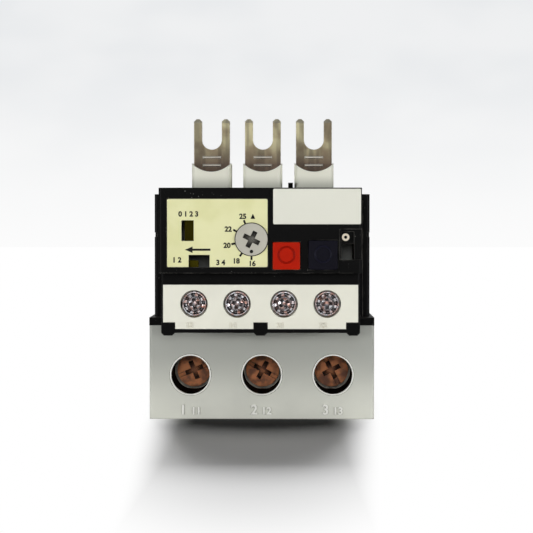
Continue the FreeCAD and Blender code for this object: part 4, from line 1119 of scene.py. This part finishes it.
@dataclass
class PushButton:
    """Square button with a fine raised ring on its cap."""

    name: str
    finish: Finish
    ring_finish: Finish
    slot: str
    ring_radius: float = 2.0
    ring_width: float = 0.26
    relief: float = 0.14

    def build(self) -> None:
        """Dress the button, build its ring and its spring."""
        node = f"{self.name}_button"
        dress_nodes(self.finish, node)
        x, _, z = middle(node)
        size = (self.ring_width, self.relief)
        ring = surface(f"{self.name}_ring", bead(x, z, edge(node, 1, 0), self.ring_radius, size, 65))
        settle(ring, self.ring_finish, node)
        CoilSpring().build(self.name)


@dataclass
class Studio:
    """Pale floor and backdrop, soft lamps and the camera, in metres and degrees.

    The contact shade is laid on the floor in front of the foot, and the glow is the part of the floor
    that the camera sees as white; the places where they begin and end are in millimetres.
    """

    camera_place: Place = (0.007, -0.439, 0.0491)
    lens: float = 107.53
    tilt: float = -1.133
    pan: float = 0.773
    aim: Place = (0.0, 0.0, 0.04)
    world_level: float = 0.085
    floor_reach: float = 6.0
    wall_half: float = 9.0
    wall_height: float = 3.0
    shade_reach: float = 200.0
    shade_share: float = 0.92
    shade_colour: Colour = (20, 20, 20)
    shade_sides: Span = (17.0, 27.0)
    shade_front: Span = (-14.0, -4.0)
    glow_narrow: float = 4.2
    glow_reach: Span = (0.085, 0.21)
    glow_sides: Span = (22.0, 33.0)
    glow_spread: float = 0.06

    def build(self) -> None:
        """Set the whole stage."""
        scene = bpy.context.scene
        scene.view_settings.view_transform = "Standard"
        lens = bpy.data.cameras.new("camera")
        lens.lens = self.lens
        lens.sensor_width = 36.0
        lens.clip_start = 0.01
        camera = bpy.data.objects.new("camera", lens)
        camera.location = self.camera_place
        camera.rotation_euler = (math.radians(90.0 + self.tilt), 0.0, math.radians(self.pan))
        scene.collection.objects.link(camera)
        scene.camera = camera
        for name, side in (("left", -1.0), ("right", 1.0)):
            self._lamp(f"{name}_front_softbox", (side * 0.62, -0.56, 0.08), (0.4, 0.09), 2.55)
            self._lamp(f"{name}_rear_softbox", (side * 0.07, 0.36, 0.39), (0.1, 0.12), 1.35)
        self._lamp("middle_softbox", (0.0, -0.6, 0.14), (0.14, 0.14), 0.4)
        self._floor()
        self._backdrop()
        self._world()

    def _lamp(self, name: str, place: Place, size: Span, power: float) -> None:
        """Hang one soft lamp that faces the object.

        Args:
            name: the lamp's name.
            place: where it hangs.
            size: its width and height.
            power: its power in watts.
        """
        light = bpy.data.lights.new(name, "AREA")
        light.shape = "RECTANGLE"
        light.size, light.size_y = size
        light.energy = power
        lamp = bpy.data.objects.new(name, light)
        lamp.location = place
        sight = Vector(self.aim) - Vector(place)
        lamp.rotation_euler = sight.to_track_quat("-Z", "Y").to_euler()
        bpy.context.scene.collection.objects.link(lamp)

    def _floor(self) -> None:
        """Lay a large pale floor that keeps the object's shadow and looks white to the camera."""
        span = np.linspace(-self.floor_reach, self.floor_reach, 9) / MM
        across, along = np.meshgrid(span, span, indexing="ij")
        floor = surface("floor", np.stack([across, along, np.zeros_like(across)], axis=-1), False)
        shader = Shader("floor_paper")
        tint = shader.mix(shader.noise(400.0, 2.0), linear((246, 246, 246)), linear((249, 249, 249)))
        aside = shader.along("X")
        aside = aside.math("ABSOLUTE", aside)
        forward = shader.along("Y")
        # Painted contact shadow: the floor darkens in front of the foot where the object blocks the
        # light.
        before = (1.0 - aside.ramp(*self.shade_sides)) * (1.0 - forward.ramp(*self.shade_front))
        under = shader.cavity(self.shade_reach, 16).ramp(-0.15, 0.7) * before
        tint = shader.mix(under * self.shade_share, tint, linear(self.shade_colour))
        inputs = {"Vector": shader.place, "Scale": (self.glow_narrow, 1.0, 1.0)}
        wide = shader.node("ShaderNodeMapping", {}, inputs).outputs[0]
        reach = shader.node("ShaderNodeVectorMath", {"operation": "LENGTH"}, {0: wide}).outputs["Value"]
        glow = Value(shader, reach).ramp(*self.glow_reach)
        # The glow also whitens the floor beside the shadow, painting light over the shadow's side
        # lobes.
        beside = (aside - forward * self.glow_spread).ramp(*self.glow_sides)
        glow = glow.math("MAXIMUM", glow, beside)
        self._finish(floor, shader, tint, linear((255, 255, 255)), glow)

    def _backdrop(self) -> None:
        """Stand a pale wall at the far end of the floor, a little greyer towards its top."""
        wide = np.linspace(-self.wall_half, self.wall_half, 7) / MM
        across, up = np.meshgrid(wide, np.linspace(0.0, self.wall_height, 5) / MM, indexing="ij")
        points = np.stack([across, np.full_like(across, self.floor_reach / MM), up], axis=-1)
        wall = surface("backdrop", points, False)
        shader = Shader("backdrop_paper")
        crumpled = shader.noise(260.0, 2.0, (0.5, 1.0, 1.0)).ramp(0.3, 0.7)
        rise = shader.along("Z").ramp(-100.0, 900.0)
        top = shader.mix(crumpled, linear((232, 234, 236)), linear((239, 240, 241)))
        tint = shader.mix(rise, linear((252, 252, 252)), top)
        self._finish(wall, shader, linear((240, 240, 240)), tint, 1.0)

    def _finish(self, piece: Object, shader: Shader, body: object, seen: object, glow: Number) -> None:
        """Finish a piece of the stage: matt paper, and plainly bright where the camera sees its glow.

        Args:
            piece: the floor or the backdrop.
            shader: the started material.
            body: colour of the paper.
            seen: colour of the glow.
            glow: share of the glow, from 0 to 1.
        """
        paper = shader.node("ShaderNodeBsdfDiffuse", {}, {"Color": body})
        bright = shader.node("ShaderNodeEmission", {}, {"Color": seen, "Strength": 1.0})
        camera = Value(shader, shader.node("ShaderNodeLightPath").outputs["Is Camera Ray"])
        inputs = {0: camera * glow, 1: paper.outputs[0], 2: bright.outputs[0]}
        mixed = shader.node("ShaderNodeMixShader", {}, inputs)
        shader.node("ShaderNodeOutputMaterial", {}, {"Surface": mixed.outputs[0]})
        piece.data.materials.append(shader.material)

    def _world(self) -> None:
        """Surround the stage with even light, which the camera sees as white."""
        shader = Shader("studio", bpy.data.worlds)
        inputs = {"Strength": self.world_level, "Color": (1.0, 1.0, 1.0, 1.0)}
        even = shader.node("ShaderNodeBackground", {}, inputs)
        white = shader.node("ShaderNodeBackground", {}, {"Color": linear((252, 252, 252))})
        seen = shader.node("ShaderNodeLightPath").outputs["Is Camera Ray"]
        inputs = {0: seen, 1: even.outputs[0], 2: white.outputs[0]}
        mixed = shader.node("ShaderNodeMixShader", {}, inputs)
        shader.node("ShaderNodeOutputWorld", {}, {"Surface": mixed.outputs[0]})
        bpy.context.scene.world = shader.material


def main() -> None:
    """Build and dress every sub-assembly in order, then set the stage."""
    logging.basicConfig(level=logging.INFO, format="%(message)s")
    assemblies = (TerminalFoot(), RearHousing(), TripMechanism(), AuxiliaryTerminals(), SettingDial(),
                  FrontFace(), PushButton("stop", Finish.RED, Finish.RED_RING, "red_plastic"),
                  PushButton("reset", Finish.NAVY, Finish.NAVY_RING, "navy_plastic"))
    for assembly in assemblies:
        assembly.build()
        LOG.info("%s is done", type(assembly).__name__)
    Studio().build()


if __name__ == "__main__":
    main()
